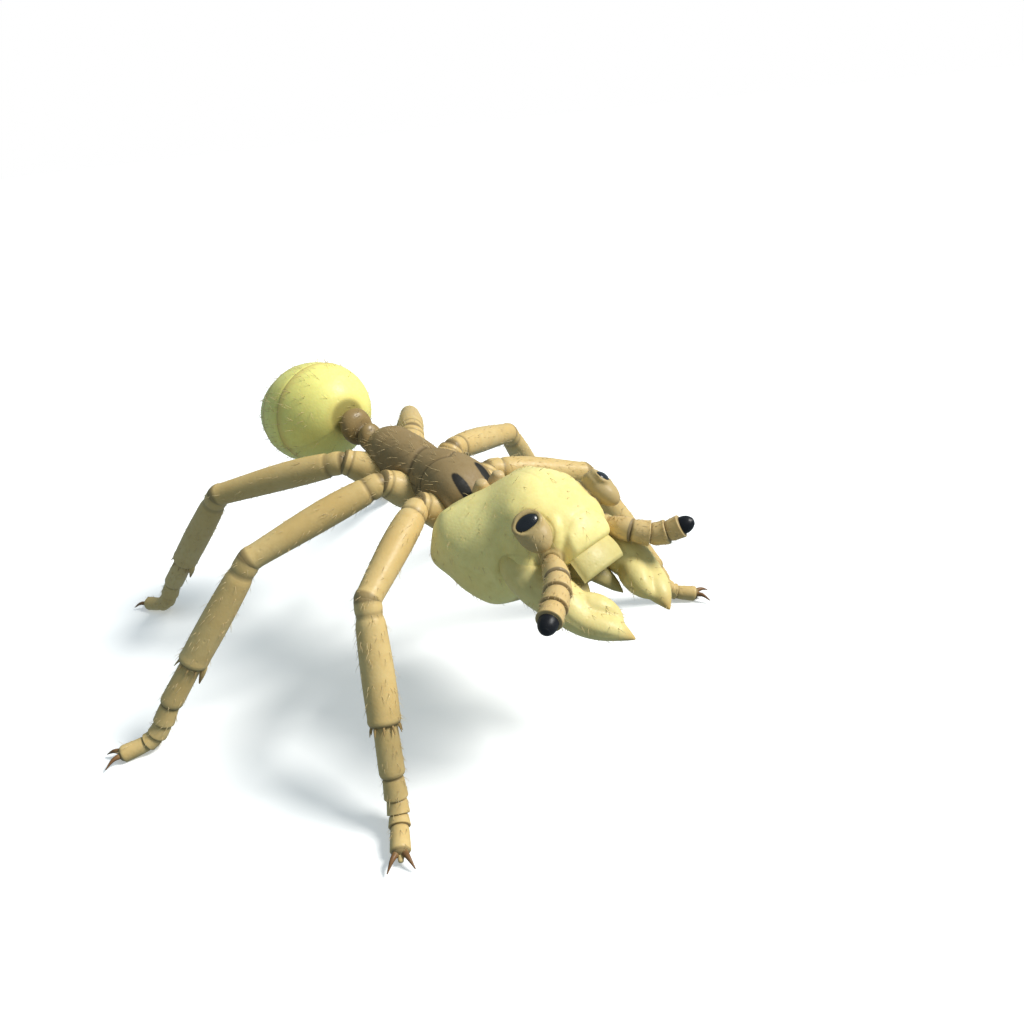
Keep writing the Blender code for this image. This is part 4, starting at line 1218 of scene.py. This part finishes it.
def coats(trunk, beads, tail, skull, both_jaws, feeler_hosts, leg_hosts):
    along, _ = head_axes()
    body = Coat("trunk_hairs", "trunk", 11)
    ends = point(0, THORAX_FRONT, 4.2), point(0, THORAX_REAR, 4.8)
    body.grow(trunk, 260, (0.08, 0.20), (0, 1, -0.2), 0.45, ends, FIRST_HALF,
              lambda p: (soft_step(p[:, 2], 3.9, 4.4) + 0.3) * soft_step(p[:, 1] + BODY_MIDDLE, -1.40, -1.15))
    ends = point(0, -1.4, 4.8), point(0, -2.5, 5.2)
    body.grow(beads, 80, (0.08, 0.18), (0, 1, 0), 0.35, ends, SECOND_HALF)
    body.finish()
    rear = Coat("tail_hairs", "tail", 12)
    ends = point(0, WAIST_REAR, GASTER_ROOT_HEIGHT), point(0, WAIST_REAR - GASTER_LENGTH, 4.9)
    rear.grow(tail, 560, (0.10, 0.24), (0, 1, -0.05), 0.62, ends, WHOLE,
              lambda p: soft_step(-p[:, 1] - BODY_MIDDLE, -2.6, -3.4) + 0.12)
    rear.finish()
    front = Coat("head_hairs", "head_shell", 13)
    front.grow(skull, 300, (0.05, 0.14), along, 0.55, (on_head(-1.2, 0, 0), on_head(1.3, 0, 0)), FIRST_HALF)
    for number, (hand, jaw) in enumerate(zip(HANDS, both_jaws)):
        line = on_head(1.0, 1.0 * hand, 0), on_head(2.98, 0.48 * hand, 0.82)
        front.grow(jaw, 90, (0.06, 0.17), along, 0.50, line, (0.52, 0.02 + 0.48 * number, 0.46, 0.46),
                   lambda p: soft_step((p - on_head(0, 0, 0)) @ along, 1.1, 1.4))
    front.finish()
    lash = Coat("feeler_hairs", "feeler", 14)
    for number, (host, start, end) in enumerate(feeler_hosts):
        run, reach = end - start, np.linalg.norm(end - start)
        cell = (0.02, 0.02 + 0.24 * number, 0.96, 0.22)
        lash.grow(host, 170, (0.04, 0.09), run, 0.72, (start, end), cell,
                  lambda p: soft_step((p - start) @ unit(run) / reach, 0.78, 0.70), radius=0.004)
    lash.finish()
    parts = len(LEG_PARTS)
    on_a_side = parts * len(LEGS)
    for number, (_, side) in enumerate(SIDES):
        coat = Coat(f"leg_hairs_{side}", "leg", 15 + number)
        for k, (host, start, end, count) in enumerate(leg_hosts[number * on_a_side :][:on_a_side]):
            cell = (0.02 + 0.24 * (k % parts), 0.02 + 0.32 * (k // parts), 0.22, 0.30)
            coat.grow(host, count, (0.07, 0.17), unit(end - start), 0.62, (start, end), cell,
                      lambda p: soft_step(p[:, 2], 0.16, 0.30))
        coat.finish()


# The stage: a wide pale floor, soft light and the camera

FLOOR_HALF = 1.5  # in metres

CAMERA_PLACE = (-9.067, -12.133 - BODY_MIDDLE, 11.156)
CAMERA_UP = (0.400405, 0.256904, 0.879589)
CAMERA_FORWARD = (0.612883, 0.638511, -0.465487)
CAMERA_LENS = 26.381

# The sun's way is the way towards it, and its angle is how wide it looks, in degrees.
SUN_FROM = (0.50, -0.50, 0.71)
SUN_STRENGTH = 3.9
SUN_ANGLE = 18.0
SUN_COLOUR = (1.0, 0.985, 0.94)
SKY_STRENGTH = 0.34
SKY_COLOUR = (0.76, 0.98, 1.10)


def stage():
    """A floor so wide that it meets the white backdrop at the horizon. It throws no light back at the ant."""
    corners = [(-FLOOR_HALF, -FLOOR_HALF, 0), (FLOOR_HALF, -FLOOR_HALF, 0),
               (FLOOR_HALF, FLOOR_HALF, 0), (-FLOOR_HALF, FLOOR_HALF, 0)]
    data = bpy.data.meshes.new("floor")
    data.from_pydata(corners, [], [(0, 1, 2, 3)])
    data.materials.append(floor_material())
    floor = placed("floor", data)
    floor.visible_diffuse = False
    floor.visible_glossy = False


def turned(right, upward, backward):
    """A turn from the three ways that an object's own axes point."""
    return Matrix(np.column_stack([right, upward, backward]).tolist()).to_4x4()


def camera():
    """The picture's camera, with its distances in metres and its sensor in millimetres."""
    data = bpy.data.cameras.new("camera")
    data.lens, data.sensor_width = CAMERA_LENS, 36.0
    data.clip_start, data.clip_end = 0.0005, 5.0
    made = placed("camera", data)
    forward = unit(np.array(CAMERA_FORWARD))
    right = unit(np.cross(forward, CAMERA_UP))
    turn = turned(right, np.cross(right, forward), -forward)
    made.matrix_world = Matrix.Translation(np.array(CAMERA_PLACE) * MM) @ turn
    bpy.context.scene.camera = made


def lighting():
    """One broad soft sun, an even cool sky light, and a white backdrop for the camera."""
    scene = bpy.context.scene
    scene.world = bpy.data.worlds.new("studio")
    scene.world.use_nodes = True
    tree = scene.world.node_tree
    sky = tree.nodes["Background"]
    sky.inputs["Color"].default_value = (*SKY_COLOUR, 1)
    sky.inputs["Strength"].default_value = SKY_STRENGTH
    backdrop = tree.nodes.new("ShaderNodeBackground")
    backdrop.inputs["Color"].default_value = (1, 1, 1, 1)
    mix = tree.nodes.new("ShaderNodeMixShader")
    seen = tree.nodes.new("ShaderNodeLightPath").outputs["Is Camera Ray"]
    for place, source in enumerate((seen, sky.outputs[0], backdrop.outputs[0])):
        tree.links.new(source, mix.inputs[place])
    tree.links.new(mix.outputs[0], tree.nodes["World Output"].inputs["Surface"])
    data = bpy.data.lights.new("key", "SUN")
    data.energy, data.angle, data.color = SUN_STRENGTH, math.radians(SUN_ANGLE), SUN_COLOUR
    way = unit(np.array(SUN_FROM))
    right = unit(np.cross(UP, way))
    placed("key", data).matrix_world = turned(right, np.cross(way, right), way)
    scene.view_settings.view_transform = "Standard"


def main():
    trunk = thorax()
    beads = waist()
    tail = gaster()
    skull = head()
    eyes()
    both_jaws = jaws()
    mouthparts()
    neck()
    coats(trunk, beads, tail, skull, both_jaws, feelers(), legs())
    stage()
    camera()
    lighting()


main()
